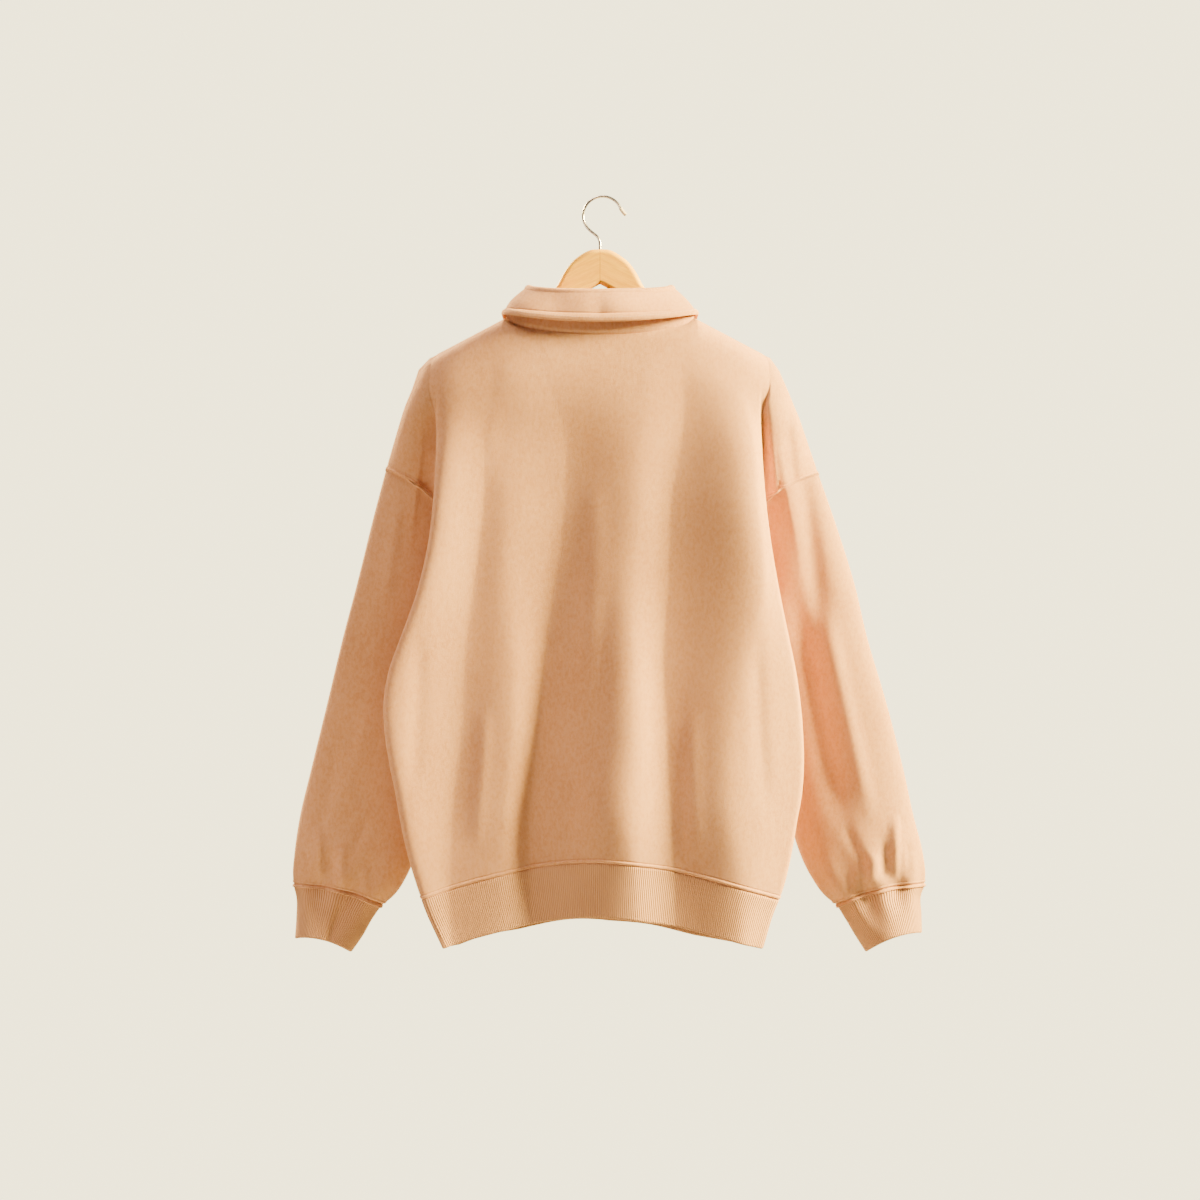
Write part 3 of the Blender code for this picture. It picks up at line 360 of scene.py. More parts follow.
SLEEVE_CREASES = {
    LEFT: millimetres(
        (-228, 330, -246, 470, -1.6, 8, 6, 0),
        (-262, 350, -290, 560, 1.2, 10, 14, 4),
        (-262, 560, -306, 700, -1.4, 7, 12, 6),
        (-300, 600, -326, 750, 1.4, 9, 7, 3),
        (-262, 690, -302, 772, 1.8, 7, 5, 4),
        (-320, 705, -318, 775, -3, 5, 4, 0),
        (-294, 725, -291, 780, -2.6, 5, 4, 0),
        (-268, 750, -268, 790, -2.2, 4, 4, 0),
        (-306, 735, -305, 778, 2, 4, 5, 0),
        (-334, 730, -333, 775, 1.8, 5, 4, 0),
        (-294, 790, -320, 866, 3, 2.5, 10, 0),
    ),
    RIGHT: millimetres(
        (222, 270, 252, 520, 4, 12, 12, 0),
        (212, 420, 277, 730, 5.6, 14, 12, 0),
        (242, 430, 306, 720, -3.4, 9, 10, 0),
        (272, 700, 306, 768, 2, 6, 6, -3),
        (331, 690, 331, 776, -3.4, 6, 3, 0),
        (306, 735, 302, 778, -2.8, 6, 5, 0),
        (287, 752, 286, 786, -2.2, 4, 4, 0),
        (318, 720, 318, 775, 2, 5, 5, 0),
        (344, 720, 346, 772, 1.8, 5, 5, 0),
    ),
}
SLEEVE_FRONT_CREASES = {
    LEFT: millimetres(
        (-232, 340, -262, 470, -2.2, 8, 6, 3),
        (-226, 420, -280, 540, -2, 7, 10, 6),
        (-270, 540, -308, 700, 1.6, 10, 10, 4),
        (-318, 700, -316, 776, -3, 5, 5, 0),
        (-292, 724, -292, 780, -2.6, 5, 5, 0),
        (-304, 730, -304, 778, 2, 5, 5, 0),
        (-334, 728, -333, 774, 1.8, 5, 5, 0),
    ),
    RIGHT: millimetres(
        (232, 340, 264, 480, -2.2, 6, 8, -3),
        (226, 430, 284, 550, -2, 10, 7, -6),
        (270, 550, 316, 700, 1.6, 10, 10, -4),
        (330, 700, 331, 776, -3, 5, 5, 0),
        (304, 730, 304, 780, -2.6, 5, 5, 0),
        (317, 726, 318, 778, 2, 5, 5, 0),
        (345, 724, 346, 774, 1.8, 5, 5, 0),
    ),
}

# --- Looks ---

WALE_PITCH, COURSE_PITCH = 0.0013, 0.0011  # of the jersey's knit
RIB_PITCH, CUFF_RIB_PITCH = 0.0026, 0.0026
JERSEY_LIGHT, JERSEY_DARK = (0.75, 0.406, 0.203), (0.66, 0.340, 0.160)
# The deep jersey colour is the yarn's dark pits, and also painted shade in the grooves of the knit
# and the furrows of the rib.
JERSEY_FLECK, JERSEY_PIT_AND_GROOVE_SHADE = (0.86, 0.56, 0.38), (0.44, 0.180, 0.066)
RIB_LIGHT, RIB_DARK = (0.70, 0.375, 0.180), (0.62, 0.320, 0.145)
GRAIN_SLOPE = 0.45  # how steeply the wood's grain runs down the arms

COLLAR_COLUMNS = 260
COLLAR_STAND_ROWS, COLLAR_FOLD_ROWS, COLLAR_FALL_ROWS = 18, 12, 40
# of the collar's foot, inside the back and front of the neck
FOOT_INSET, FOOT_REACH, FOOT_SPREAD = 0.0029, 0.0050, 1.6
COLLAR_BAND = 0.0068  # width of the turned and stitched edge
COLLAR_BAND_HEIGHT, COLLAR_BAND_STEP = 0.0011, 0.0016
COLLAR_BANDS = ((COLLAR_BAND + 0.0012, 0.0012, -0.0010), (0.0030, 0.0024, 0.0009))
COLLAR_FALL_START = 0.045  # along the cloth from the foot
COLLAR_WAVE, COLLAR_WAVE_TURN, COLLAR_WAVE_START = 0.0010, 55.0, 0.6
COLLAR_CREASE_FADE, COLLAR_WAVE_FADE = 0.010, 0.02  # distances from the edge
COLLAR_CUT_HALF = 0.23  # half its length in the flat cut
# x, half the width, depth
COLLAR_CREASES = ((-0.004, 0.010, 0.0016), (-0.052, 0.014, 0.0008), (0.050, 0.016, 0.0008))
HOLE_OFFSET, HOLE_RADIUS, HOLE_START, HOLE_DEPTH = 0.0011, 0.00055, -0.001, 0.006
STITCH_ROWS = 9  # rows of the mesh from a rib's seam to the stitches
STITCH_PITCH, STITCH_LENGTH, THREAD_RADIUS = 0.0032, 0.0027, 0.0003
STITCH_REACH = 0.4  # of its pitch, to each side of its middle, over which a stitch is levelled
TIP_CAP_RADIUS = 0.0021

SWEATER_MIDDLE = (-0.003, 0.0, -0.45)
SENSOR, FRAME_HEIGHT = 36.0, 1.344  # millimetres, and metres at the plane of the back panel
CAMERA_X, CAMERA_Z = -0.003, -0.454
CAMERA_DISTANCE, GARMENT_PLANE_Y = 2.600, -0.020
FLOOR_Z, FLOOR_RADIUS, FLOOR_SIDES = -3.3, 2.8, 96
FILL_COLOUR, FILL_STRENGTH = (1.0, 0.78, 0.69), 0.156
BACKDROP_COLOUR, BACKDROP_STRENGTH = (1.0, 0.89, 0.53), 3.9
LIGHTS = (
    # name, place, size, power, colour
    ("key", (3.0, -0.55, 0.90), 0.9, 1490.0, (1.0, 0.78, 0.30)),
    ("top", (-0.7, -0.5, 2.3), 1.6, 108.0, (1.0, 0.74, 0.52)),
    ("front_fill", (-1.2, -3.3, -0.2), 2.6, 5.0, (1.0, 0.80, 0.72)),
    ("bounce", (-1.1, -0.7, -0.60), 0.8, 11.0, (1.0, 0.70, 0.46)),
    ("back_key", (-1.9, 1.9, 1.3), 0.9, 450.0, (1.0, 0.78, 0.38)),
    ("back_fill", (2.2, 2.8, -0.4), 2.4, 52.0, (1.0, 0.76, 0.44)),
)

# --- Numbers ---


def side_of(column):
    return np.where(column < 0, -1.0, 1.0)


def mix(a, b, share):
    return a + (b - a) * share


def smooth(share):
    share = np.clip(share, 0.0, 1.0)
    return share * share * (3 - 2 * share)


def curve(knots, values, at):
    """The smooth curve through values at rising knots, and level past either end."""
    knots, values = np.asarray(knots, float), np.asarray(values, float)
    at = np.clip(at, knots[0], knots[-1])
    i = np.clip(np.searchsorted(knots, at, side="right") - 1, 0, len(knots) - 2)
    slopes = np.gradient(values, knots)
    step = knots[i + 1] - knots[i]
    t = (at - knots[i]) / step
    start = (1 + 2 * t) * (1 - t) ** 2 * values[i] + t * (1 - t) ** 2 * step * slopes[i]
    end = t * t * (3 - 2 * t) * values[i + 1] + t * t * (t - 1) * step * slopes[i + 1]
    return start + end


def stepped(start, stretches):
    """Values from start on, in stretches of (last value, number of steps)."""
    values = [np.array([start])]
    for end, steps in stretches:
        values.append(np.linspace(values[-1][-1], end, steps + 1)[1:])
    return np.concatenate(values)


def nearest(values, value):
    """The place in values of the one that is nearest to value."""
    return int(np.argmin(np.abs(values - value)))


def read(table, column, at):
    """One column of a table, at drops between its rows."""
    return curve([row[0] for row in table], [row[column] for row in table], at)


def read_side(table, side, at):
    """The left or the right column of a table, as side says for each drop."""
    return np.where(side < 0, read(table, 1, at), read(table, 2, at))


# --- The body's surface ---
# A column runs down the body: 0 is the middle, NECK_EDGE the side of the neck, BODY_EDGE_COLUMN the
# body's outline, CREASE_COLUMN the side seam and FOLD_COLUMN the outside of the dropped shoulder.
# It is negative on the left. A level is 0 at the shoulder, 1 at the hem seam, 2 at the rib's end.

NECK_EDGE = len(NECK_COLUMNS) - 1
BODY_EDGE_COLUMN = NECK_EDGE + SHOULDER_STEPS
CREASE_COLUMN = BODY_EDGE_COLUMN + TURN_STEPS
FOLD_COLUMN = CREASE_COLUMN + SLEEVE_STEPS
UNDERARM_LEVEL = BODY_ROWS[UNDERARM]
TOP_DISTANCES = (
    *NECK_COLUMNS,
    *np.linspace(NECK_HALF_WIDTH, EDGE_AT_TOP, SHOULDER_STEPS + 1)[1:],
    *np.linspace(EDGE_AT_TOP, CREASE_AT_TOP, TURN_STEPS + 1)[1:],
)
WRAP_REACH = 0.0125  # the level by which the cloth has come round the hanger

# Mesh rows, closer together beside the seams: where each stretch of them ends, and how many it has
BODY_STRETCHES = (
    (UNDERARM_LEVEL - 0.012, 44), (UNDERARM_LEVEL, 14), (0.988, 90), (1.0, 16), (2.0, RIB_ROWS),
)
SLEEVE_STRETCHES = ((0.006, 5), (0.984, 141), (1.0, 15), (2.0, 40))


def top_distance(column):
    return np.interp(np.abs(column), np.arange(len(TOP_DISTANCES)), TOP_DISTANCES)


def body_distance(column):
    even = EDGE_AT_TOP * np.abs(column) / BODY_EDGE_COLUMN
    return np.where(np.abs(column) > BODY_EDGE_COLUMN, top_distance(column), even)


def neck_arc(distance):
    return np.sqrt(np.maximum(0.0, 1 - (distance / NECK_HALF_WIDTH) ** 2))


def top_drop(distance, is_back):
    fall = NECK_BACK_FALL if is_back else NECK_FRONT_FALL
    neck = NECK_SIDE_DROP + fall * neck_arc(distance)
    shoulder = NECK_SIDE_DROP + SHOULDER_SLOPE * (distance - NECK_HALF_WIDTH)
    return np.where(distance < NECK_HALF_WIDTH, neck, shoulder)


def soft_top_drop(distance, is_back):
    """The same with the corner at the side of the neck rounded off."""
    fall = NECK_BACK_FALL if is_back else NECK_FRONT_FALL
    past = distance - NECK_HALF_WIDTH
    slope = SHOULDER_SLOPE * (past + np.sqrt(past**2 + NECK_CORNER_RADIUS**2)) / 2
    return NECK_SIDE_DROP + fall * smooth(NECK_CORNER_START - distance / NECK_HALF_WIDTH) + slope


def level_drop(column, level, is_back):
    share = np.minimum(1.0, body_distance(column) / EDGE_AT_TOP)
    lean = 1 + FRONT_HEM_LEAN * np.sign(column) * share
    fall = 0.0 if is_back else FRONT_HEM_FALL * (1 - share**2) * lean
    hem = HEM_DROP + HEM_CORNER_FALL * share**HEM_CURVE + fall
    corner = (RIB_CORNER_FALL - HEM_CORNER_FALL) * share**HEM_CURVE
    top = top_drop(top_distance(column), is_back)
    return mix(top, hem, np.minimum(level, 1)) + (RIB_HEIGHT + corner) * np.maximum(level - 1, 0)


def wrap(level):
    return np.sqrt(1 - (1 - np.minimum(1.0, level / WRAP_REACH)) ** 2)


def spread(level):
    """How far the columns have spread from their places at the neck to even spacing."""
    steps = np.arange(SPREAD_ROWS + 1)
    return curve(BODY_ROWS[: SPREAD_ROWS + 1], smooth(steps / SPREAD_ROWS), level)


def fold_height(drops, folds, ends, x, drop):
    """How far the folds stand off the panel. A ridge is round and a valley is sharp."""
    lines = [(curve(drops, xs, drop), curve(drops, heights, drop)) for xs, heights in folds]
    lines = [(ends[0], 0.0), *lines, (ends[1], 0.0)]
    total = np.zeros_like(x)
    for (x0, height0), (x1, height1) in zip(lines, lines[1:]):
        t = np.clip((x - x0) / (x1 - x0), 0.0, 1.0)
        falls = height0 > height1
        sharp = np.where(falls, 1 - np.cos(math.pi / 2 * t), np.sin(math.pi / 2 * t))
        share = mix(smooth(t), sharp, VALLEY_SHARPNESS)
        inside = (x > x0) & (x <= x1)
        total = np.where(inside, mix(height0, height1, share), total)
    return total


def panel_depth(column, level, drop, is_back):
    neck_depth, deepest = (
        (NECK_BACK_DEPTH, BACK_DEPTH) if is_back else (NECK_FRONT_DEPTH, FRONT_DEPTH)
    )
    start = top_distance(column)
    at_top = np.maximum(
        neck_depth * neck_arc(start) ** NECK_SQUARENESS, SHOULDER_WRAP * wrap(level)
    )
    below = drop - top_drop(start, is_back)
    calm = 1 - np.exp(-below / NECK_CALM_REACH)
    place = panel_share(column, level, 1.0)
    even_top = mix(YOKE_DEPTH, neck_depth, smooth((NECK_CALM_END - place) / NECK_CALM_WIDTH))
    even_below = np.maximum(0.0, drop - soft_top_drop(place, is_back))
    reach = 1 - np.exp(-mix(below, even_below, calm) / DEPTH_REACH)
    return mix(mix(at_top, even_top, calm), deepest, reach)


def body_edge(side, level):
    drop = level_drop(np.full_like(level, BODY_EDGE_COLUMN), level, True)
    y = -read(BODY_EDGE, 3, drop) * wrap(level)
    return np.stack((side * read_side(BODY_EDGE, side, drop), y, -drop), -1)


def crease_line(side, level, is_back):
    """The crease between body and sleeve, which is the side seam below the underarm."""
    drop = level_drop(np.full_like(level, CREASE_COLUMN), level, True)
    x = side * (read_side(BODY_EDGE, side, drop) - read(CREASE, 1, drop))
    y = read(CREASE, 2 if is_back else 3, drop) * wrap(level)
    return np.stack((x, y, -drop), -1)


def panel_share(column, level, whole):
    return mix(top_distance(column), body_distance(column), spread(level)) / whole


def shoulder_fold(side, level):
    """The fold down the outside of the dropped shoulder."""
    share = np.minimum(1.0, level / UNDERARM_LEVEL)
    line = np.zeros((*np.shape(level), 3))
    for way in (LEFT, RIGHT):
        fold = SHOULDER_FOLD[way]
        drop = mix(fold[0][0], fold[-1][0], share)
        at = np.stack((way * read(fold, 1, drop), SHOULDER_FOLD_Y * share, -drop), -1)
        line = np.where((side == way)[..., None], at, line)
    return line


def round_yoke(points, column, level, outer_y):
    """Makes the back run round to the sleeves in one curve above the creases beside the arms."""
    side = side_of(column)
    drop = -points[..., 2]
    within = np.clip(np.abs(column), 0, BODY_EDGE_COLUMN)
    depth = panel_depth(within, level, level_drop(within, level, True), True)
    edge_x, fold_x = body_edge(side, level)[..., 0], shoulder_fold(side, level)[..., 0]
    past = (np.abs(column) - BODY_EDGE_COLUMN) / (FOLD_COLUMN - BODY_EDGE_COLUMN)
    share = smooth(level / WRAP_REACH) * (1 - smooth((drop - YOKE_END) / YOKE_FADE))
    x = np.where(past > 0, mix(points[..., 0], mix(edge_x, fold_x, past), share), points[..., 0])
    away = np.clip((x - CENTRE_X) / (fold_x - CENTRE_X), 0.0, 1.0)
    turned = np.sqrt(1 - away**YOKE_SQUARENESS)
    y = mix(points[..., 1], mix(outer_y, -depth, turned), share)
    return np.stack((x, y, points[..., 2]), -1)


def back_points(column, level):
    side = side_of(column)
    edge = body_edge(side, level)
    end = crease_line(side, level, True)
    share = np.minimum(1.0, panel_share(column, level, EDGE_AT_TOP))
    drop = level_drop(column, level, True)
    x = mix(CENTRE_X, edge[..., 0], share)
    square = read_side(BACK_SQUARENESS, side, drop)
    roundness = (1 - share**square) ** (1 / square)
    y = mix(edge[..., 1], -panel_depth(column, level, drop, True), roundness)
    ends = [way * read(BODY_EDGE, 1 if way < 0 else 2, drop) for way in (LEFT, RIGHT)]
    folds = fold_height(BACK_FOLD_DROPS, BACK_FOLDS, ends, x, drop)
    panel = round_yoke(np.stack((x, y, -drop), -1), column, level, 0.0)
    panel[..., 1] -= BACK_FOLD_SCALE * folds * (1 - share**BACK_FOLD_FADE)
    t = np.clip((np.abs(column) - BODY_EDGE_COLUMN) / TURN_STEPS, 0, 1)[..., None]
    bend = mix(edge, end, np.array((0.0, TURN_BEND_Y, TURN_BEND_Z)))
    turn = (1 - t) ** 2 * edge + 2 * t * (1 - t) * bend + t * t * end
    turn = round_yoke(turn, column, level, 0.0)
    return np.where((np.abs(column) > BODY_EDGE_COLUMN)[..., None], turn, panel)


def front_points(column, level):
    side = side_of(column)
    end = crease_line(side, level, False)
    share = np.minimum(1.0, panel_share(column, level, CREASE_AT_TOP))
    drop = level_drop(column, level, False)
    x = mix(CENTRE_X, end[..., 0], share)
    roundness = (1 - share**FRONT_SQUARENESS) ** (1 / FRONT_SQUARENESS)
    y = mix(end[..., 1], panel_depth(column, level, drop, False), roundness)
    first, last = (curve(FRONT_FOLD_DROPS, FRONT_FOLDS[i][0], drop) for i in (0, -1))
    ends = (first + FRONT_FOLD_ENDS[0], last + FRONT_FOLD_ENDS[1])
    folds = fold_height(FRONT_FOLD_DROPS, FRONT_FOLDS, ends, x, drop)
    y += FRONT_FOLD_SCALE * folds * (1 - share**FRONT_FOLD_FADE)
    panel = np.stack((x, y, -drop), -1)
    return np.where((share >= 1)[..., None], end, panel)


def shoulder_points(column, level, is_back):
    """The dropped shoulder, between the crease and the fold down its outside."""
    side = side_of(column)
    inner = crease_line(side, level, is_back)
    share = level / UNDERARM_LEVEL
    outer = shoulder_fold(side, level)
    across = (1 - np.cos(math.pi * (np.abs(column) - CREASE_COLUMN) / SLEEVE_STEPS)) / 2
    point = mix(inner, outer, across[..., None])
    y = mix(outer[..., 1], inner[..., 1], np.sqrt(np.maximum(0.0, 1 - across**5)))
    if is_back:
        near = np.minimum(1.0, 2 * across)
        y -= BACK_BULGE * share * np.sin(math.pi * across)
        y += BACK_DIP * share**4 * np.sqrt(np.maximum(0.0, 4 * near * (1 - near)))
    else:
        y += FRONT_BULGE * share**3 * np.sqrt(np.maximum(0.0, 4 * across * (1 - across)))
    z = point[..., 2] + ARMHOLE_BOW * share * 4 * across * (1 - across)
    points = np.stack((point[..., 0], y, z), -1)
    return round_yoke(points, column, level, outer[..., 1] * across) if is_back else points


# --- The sleeves' surface ---
# Around goes from 0 at the inner fold over the back to 1 at the outer fold, and over the front
# to 2.
# A length is 0 at the armhole, 1 at the cuff seam and 2 at the cuff's end.

CUFF_END_SHARE = (CUFF_END_DROP - ARMHOLE_DROP) / (CUFF_SEAM_DROP - ARMHOLE_DROP)


def sleeve_section(side, around, drop):
    width, half_depth, middle_y, tuck, slant = (
        read(SLEEVE_SECTIONS, column, drop) for column in (3, 4, 5, 6, 7)
    )
    angle = math.pi * around
    inward = (1 + np.cos(angle)) / 2
    outer = read(SLEEVE_SECTIONS, 1 if side == LEFT else 2, drop)
    x = side * (outer - width * inward)
    gather = GATHER_HEIGHT * np.cos(2 * math.pi * GATHER_COUNT * around)
    gather = gather * smooth(1 - np.abs(GATHER_DROP - drop) / GATHER_REACH)
    round_y = np.sign(np.sin(angle)) * np.abs(np.sin(angle)) ** SLEEVE_SQUARENESS[side]
    tuck = tuck * SLEEVE_TUCK[side]
    y = middle_y + tuck * (inward - 0.5) - (half_depth + gather) * round_y
    share = (drop - ARMHOLE_DROP) / (CUFF_SEAM_DROP - ARMHOLE_DROP)
    fall = slant * inward ** mix(1, SLANT_CURVE, smooth(share))
    ending = np.maximum(0.0, (drop - CUFF_SEAM_DROP) / (CUFF_END_DROP - CUFF_SEAM_DROP))
    fall = fall + CUFF_END_SHIFT[side] * ending * (1 - inward)
    fall = fall - CUFF_END_ARCH * ending * np.maximum(0.0, np.sin(angle))
    return np.stack((x, y, -drop - fall), -1)


def armhole_points(side, around):
    """The armhole seam, where the dropped shoulder ends and the sleeve starts."""
    column = side * (CREASE_COLUMN + SLEEVE_STEPS * np.where(around > 1, 2 - around, around))
    level = np.full_like(around, UNDERARM_LEVEL)
    back = shoulder_points(column, level, True)
    front = shoulder_points(column, level, False)
    return np.where((around > 1)[..., None], front, back)


def sleeve_points(side, around, length):
    share = np.minimum(length, 1) + (CUFF_END_SHARE - 1) * np.maximum(length - 1, 0)
    drop = mix(ARMHOLE_DROP, CUFF_SEAM_DROP, share)
    near_armhole = np.maximum(0.0, 1 - share / ARMHOLE_REACH)[..., None]
    start = sleeve_section(side, around, np.full_like(drop, ARMHOLE_DROP))
    inner = ((1 + np.cos(math.pi * around)) / 2)[..., None] ** 3 * near_armhole
    clear = np.array((side * UNDERARM_CLEAR_X, UNDERARM_CLEAR_Y, 0.0)) * inner
    clear = clear * np.minimum(1.0, share / SLEEVE_ROWS[1])[..., None]
    shift = (armhole_points(side, around) - start) * near_armhole**2
    return sleeve_section(side, around, drop) + shift + clear


# --- Creases and seams ---


def creases(table, x, drop):
    """The height of all the creases in a table, at points seen from the side that they are on.

    Each row is (start x, start drop, end x, end drop, height, width on the left, width on the
    right, bow to the right). A height below 0 is a trough.
    """
    total = np.zeros_like(x)
    for x0, drop0, x1, drop1, height, left, right, bow in table:
        length = math.hypot(x1 - x0, drop1 - drop0)
        ux, ud = (x1 - x0) / length, (drop1 - drop0) / length
        along = ((x - x0) * ux + (drop - drop0) * ud) / length
        off = (x - x0) * ud - (drop - drop0) * ux - bow * 4 * along * (1 - along)
        width = np.where(off < 0, left, right)
        taper = smooth(along / CREASE_TAPER) * smooth((1 - along) / CREASE_TAPER)
        total += height * taper * np.exp(-((off / width) ** 2))
    return total


def band(distance, centre, half_width, height):
    """A raised or sunken band that runs along a seam, at a distance from it."""
    return height * np.exp(-(((distance - centre) / half_width) ** 2))


def bands(distance, rows):
    return sum(band(distance, *row) for row in rows)


def rib_relief(distance):
    """The relief on both sides of a rib's seam. The distance to it is below 0 on the rib."""
    return np.where(distance >= 0, bands(distance, SEAM_BANDS), bands(distance, RIB_BANDS))


# --- One surface for the whole garment ---


class Garment:
    """The middle surface of the cloth, in grids of points. Pieces share the points at seams."""

    def __init__(self):
        self.points, self.heights, self.cuts = [], [], []
        self.faces, self.count = {}, 0

    def add(self, points, height, cut):
        """Adds a grid of points, with relief and places in the flat cut. Returns its numbers."""
        shape = points.shape[:2]
        self.points.append(points.reshape(-1, 3))
        self.heights.append(np.broadcast_to(height, shape).reshape(-1))
        self.cuts.append(cut.reshape(-1, 2))
        index = np.arange(shape[0] * shape[1]).reshape(shape) + self.count
        self.count += index.size
        return index

    def patch(self, piece, index, flip):
        quads = np.stack((index[:-1, :-1], index[1:, :-1], index[1:, 1:], index[:-1, 1:]), -1)
        quads = quads.reshape(-1, 4)
        self.faces.setdefault(piece, []).append(quads[:, ::-1] if flip else quads)

    def close(self):
        """Joins the grids and raises the relief along the surface's normals."""
        self.points = np.concatenate(self.points)
        self.cuts = np.concatenate(self.cuts)
        self.faces = {piece: np.concatenate(parts) for piece, parts in self.faces.items()}
        self.normals = self.find_normals()
        self.points = self.points + self.normals * np.concatenate(self.heights)[:, None]
        self.normals = self.find_normals()

    def find_normals(self):
        quads = np.concatenate(list(self.faces.values()))
        a, b, c, d = (self.points[quads[:, i]] for i in range(4))
        across = np.cross(c - a, d - b)
        total = np.zeros_like(self.points)
        for i in range(4):
            np.add.at(total, quads[:, i], across)
        return total / np.maximum(np.linalg.norm(total, axis=1), 1e-12)[:, None]


def rim_of(quads):
    """The directed edges that only one face has."""
    edges = np.concatenate([np.stack((quads[:, i], quads[:, (i + 1) % 4]), -1) for i in range(4)])
    size = int(quads.max()) + 1
    forward, back = edges[:, 0] * size + edges[:, 1], edges[:, 1] * size + edges[:, 0]
    return edges[~np.isin(forward, back)]


def seam_steps(points, normals, quads, rim):
    """For each point of the rim, the unit step from it into the piece, along the surface."""
    towards = np.zeros_like(points)
    centres = points[quads].mean(axis=1)
    for i in range(4):
        np.add.at(towards, quads[:, i], centres - points[quads[:, i]])
    along = np.zeros_like(points)
    for i in range(2):
        np.add.at(along, rim[:, i], points[rim[:, 1]] - points[rim[:, 0]])
    ends = np.unique(rim)
    step, tangent = towards[ends], along[ends]
    tangent /= np.maximum(np.linalg.norm(tangent, axis=1), 1e-12)[:, None]
    for axis in (normals[ends], tangent):
        step -= axis * (step * axis).sum(axis=1)[:, None]
    step /= np.maximum(np.linalg.norm(step, axis=1), 1e-12)[:, None]
    return ends, step


def add_wall(name, garment, quads, thickness, finish, lift=0.0, round_edge=()):
    """A piece of cloth: its part of the surface, given a thickness and closed round its rim.

    The rim is rounded at the points in round_edge, which are those of an edge that hangs free.
    """
    rim = rim_of(quads)
    ends, step = seam_steps(garment.points, garment.normals, quads, rim)
    points = garment.points + garment.normals * lift
    points[ends] += step * SEAM_GAP / 2
    used = np.unique(quads)
    number = np.zeros(garment.count, int)
    number[used] = np.arange(len(used))
    offset = garment.normals[used] * thickness / 2
    middle = points[ends] - step * np.where(np.isin(ends, round_edge), thickness / 2, 0.0)[:, None]
    rim_number = np.zeros(garment.count, int)
    rim_number[ends] = np.arange(len(ends)) + 2 * len(used)
    vertices = np.concatenate((points[used] + offset, points[used] - offset, middle))
    a, b = rim[:, 0], rim[:, 1]
    outer, inner = number[quads], number[quads[:, ::-1]] + len(used)
    edge_out = np.stack((number[b], number[a], rim_number[a], rim_number[b]), -1)
    low_a, low_b = number[a] + len(used), number[b] + len(used)
    edge_in = np.stack((rim_number[b], rim_number[a], low_a, low_b), -1)
    faces = np.concatenate((outer, inner, edge_out, edge_in))
    cuts = np.concatenate((garment.cuts[used], garment.cuts[used], garment.cuts[ends]))
    return add_mesh(name, vertices, faces, finish, cuts)


def link(name, data):
    made = bpy.data.objects.new(name, data)
    bpy.context.scene.collection.objects.link(made)
    return made


def add_object(name, mesh, finish, sharp_angle, rides=True):
    """An object with a material, smooth but for the edges above sharp_angle, in degrees."""
    mesh.materials.clear()
    mesh.materials.append(material(finish))
    mesh.shade_smooth()
    mesh.set_sharp_from_angle(angle=math.radians(sharp_angle))
    made = link(name, mesh)
    if rides:
        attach(made, "root")
    return made


def loft(name, rings):
    """A mesh through rings of points, closed at both ends."""
    shape = bmesh.new()
    made = [[shape.verts.new(point) for point in ring] for ring in rings]
    for near, far in zip(made, made[1:]):
        for i in range(len(near)):
            j = (i + 1) % len(near)
            shape.faces.new((near[i], near[j], far[j], far[i]))
    shape.faces.new(made[0][::-1])
    shape.faces.new(made[-1])
    bmesh.ops.recalc_face_normals(shape, faces=shape.faces)
    mesh = bpy.data.meshes.new(name)
    shape.to_mesh(mesh)
    shape.free()
    return mesh


def add_mesh(name, vertices, faces, finish, cuts=None):
    """A mesh object of four-sided faces. cuts holds each vertex's place in the flat cut."""
    mesh = bpy.data.meshes.new(name)
    mesh.vertices.add(len(vertices))
    mesh.vertices.foreach_set("co", np.asarray(vertices, np.float32).ravel())
    corners = np.asarray(faces, np.int32)
    mesh.loops.add(corners.size)
    mesh.loops.foreach_set("vertex_index", corners.ravel())
    mesh.polygons.add(len(corners))
    starts = np.arange(0, corners.size, corners.shape[1], dtype=np.int32)
    mesh.polygons.foreach_set("loop_start", starts)
    if cuts is not None:
        layer = mesh.uv_layers.new(name="cut")
        layer.data.foreach_set("uv", np.asarray(cuts, np.float32)[corners.ravel()].ravel())
    mesh.update(calc_edges=True)
    mesh.validate()
    return add_object(name, mesh, finish, 60)


def body_columns():
    """Columns from one side seam to the other."""
    panel = (BODY_EDGE_COLUMN, BODY_EDGE_COLUMN * COLUMN_PARTS)
    half = stepped(0.0, (panel, (CREASE_COLUMN, TURN_STEPS * TURN_PARTS)))
    return np.concatenate((-half[:0:-1], half))


WRAP_LEVELS = WRAP_REACH * (1 - np.cos(np.linspace(0, math.pi / 2, WRAP_ROWS + 1)))
LEVELS = np.concatenate((WRAP_LEVELS[:-1], stepped(WRAP_REACH, BODY_STRETCHES)))
LENGTHS = stepped(0.0, SLEEVE_STRETCHES)
UNDERARM_ROW, HEM_ROW = nearest(LEVELS, UNDERARM_LEVEL), nearest(LEVELS, 1)
CUFF_ROW = nearest(LENGTHS, 1)


def body_relief(points, level, is_back):
    x, drop = points[..., 0], -points[..., 2]
    height = creases(BACK_CREASES if is_back else FRONT_CREASES, x, drop)
    return height + rib_relief((1 - level) * HEM_LENGTH)


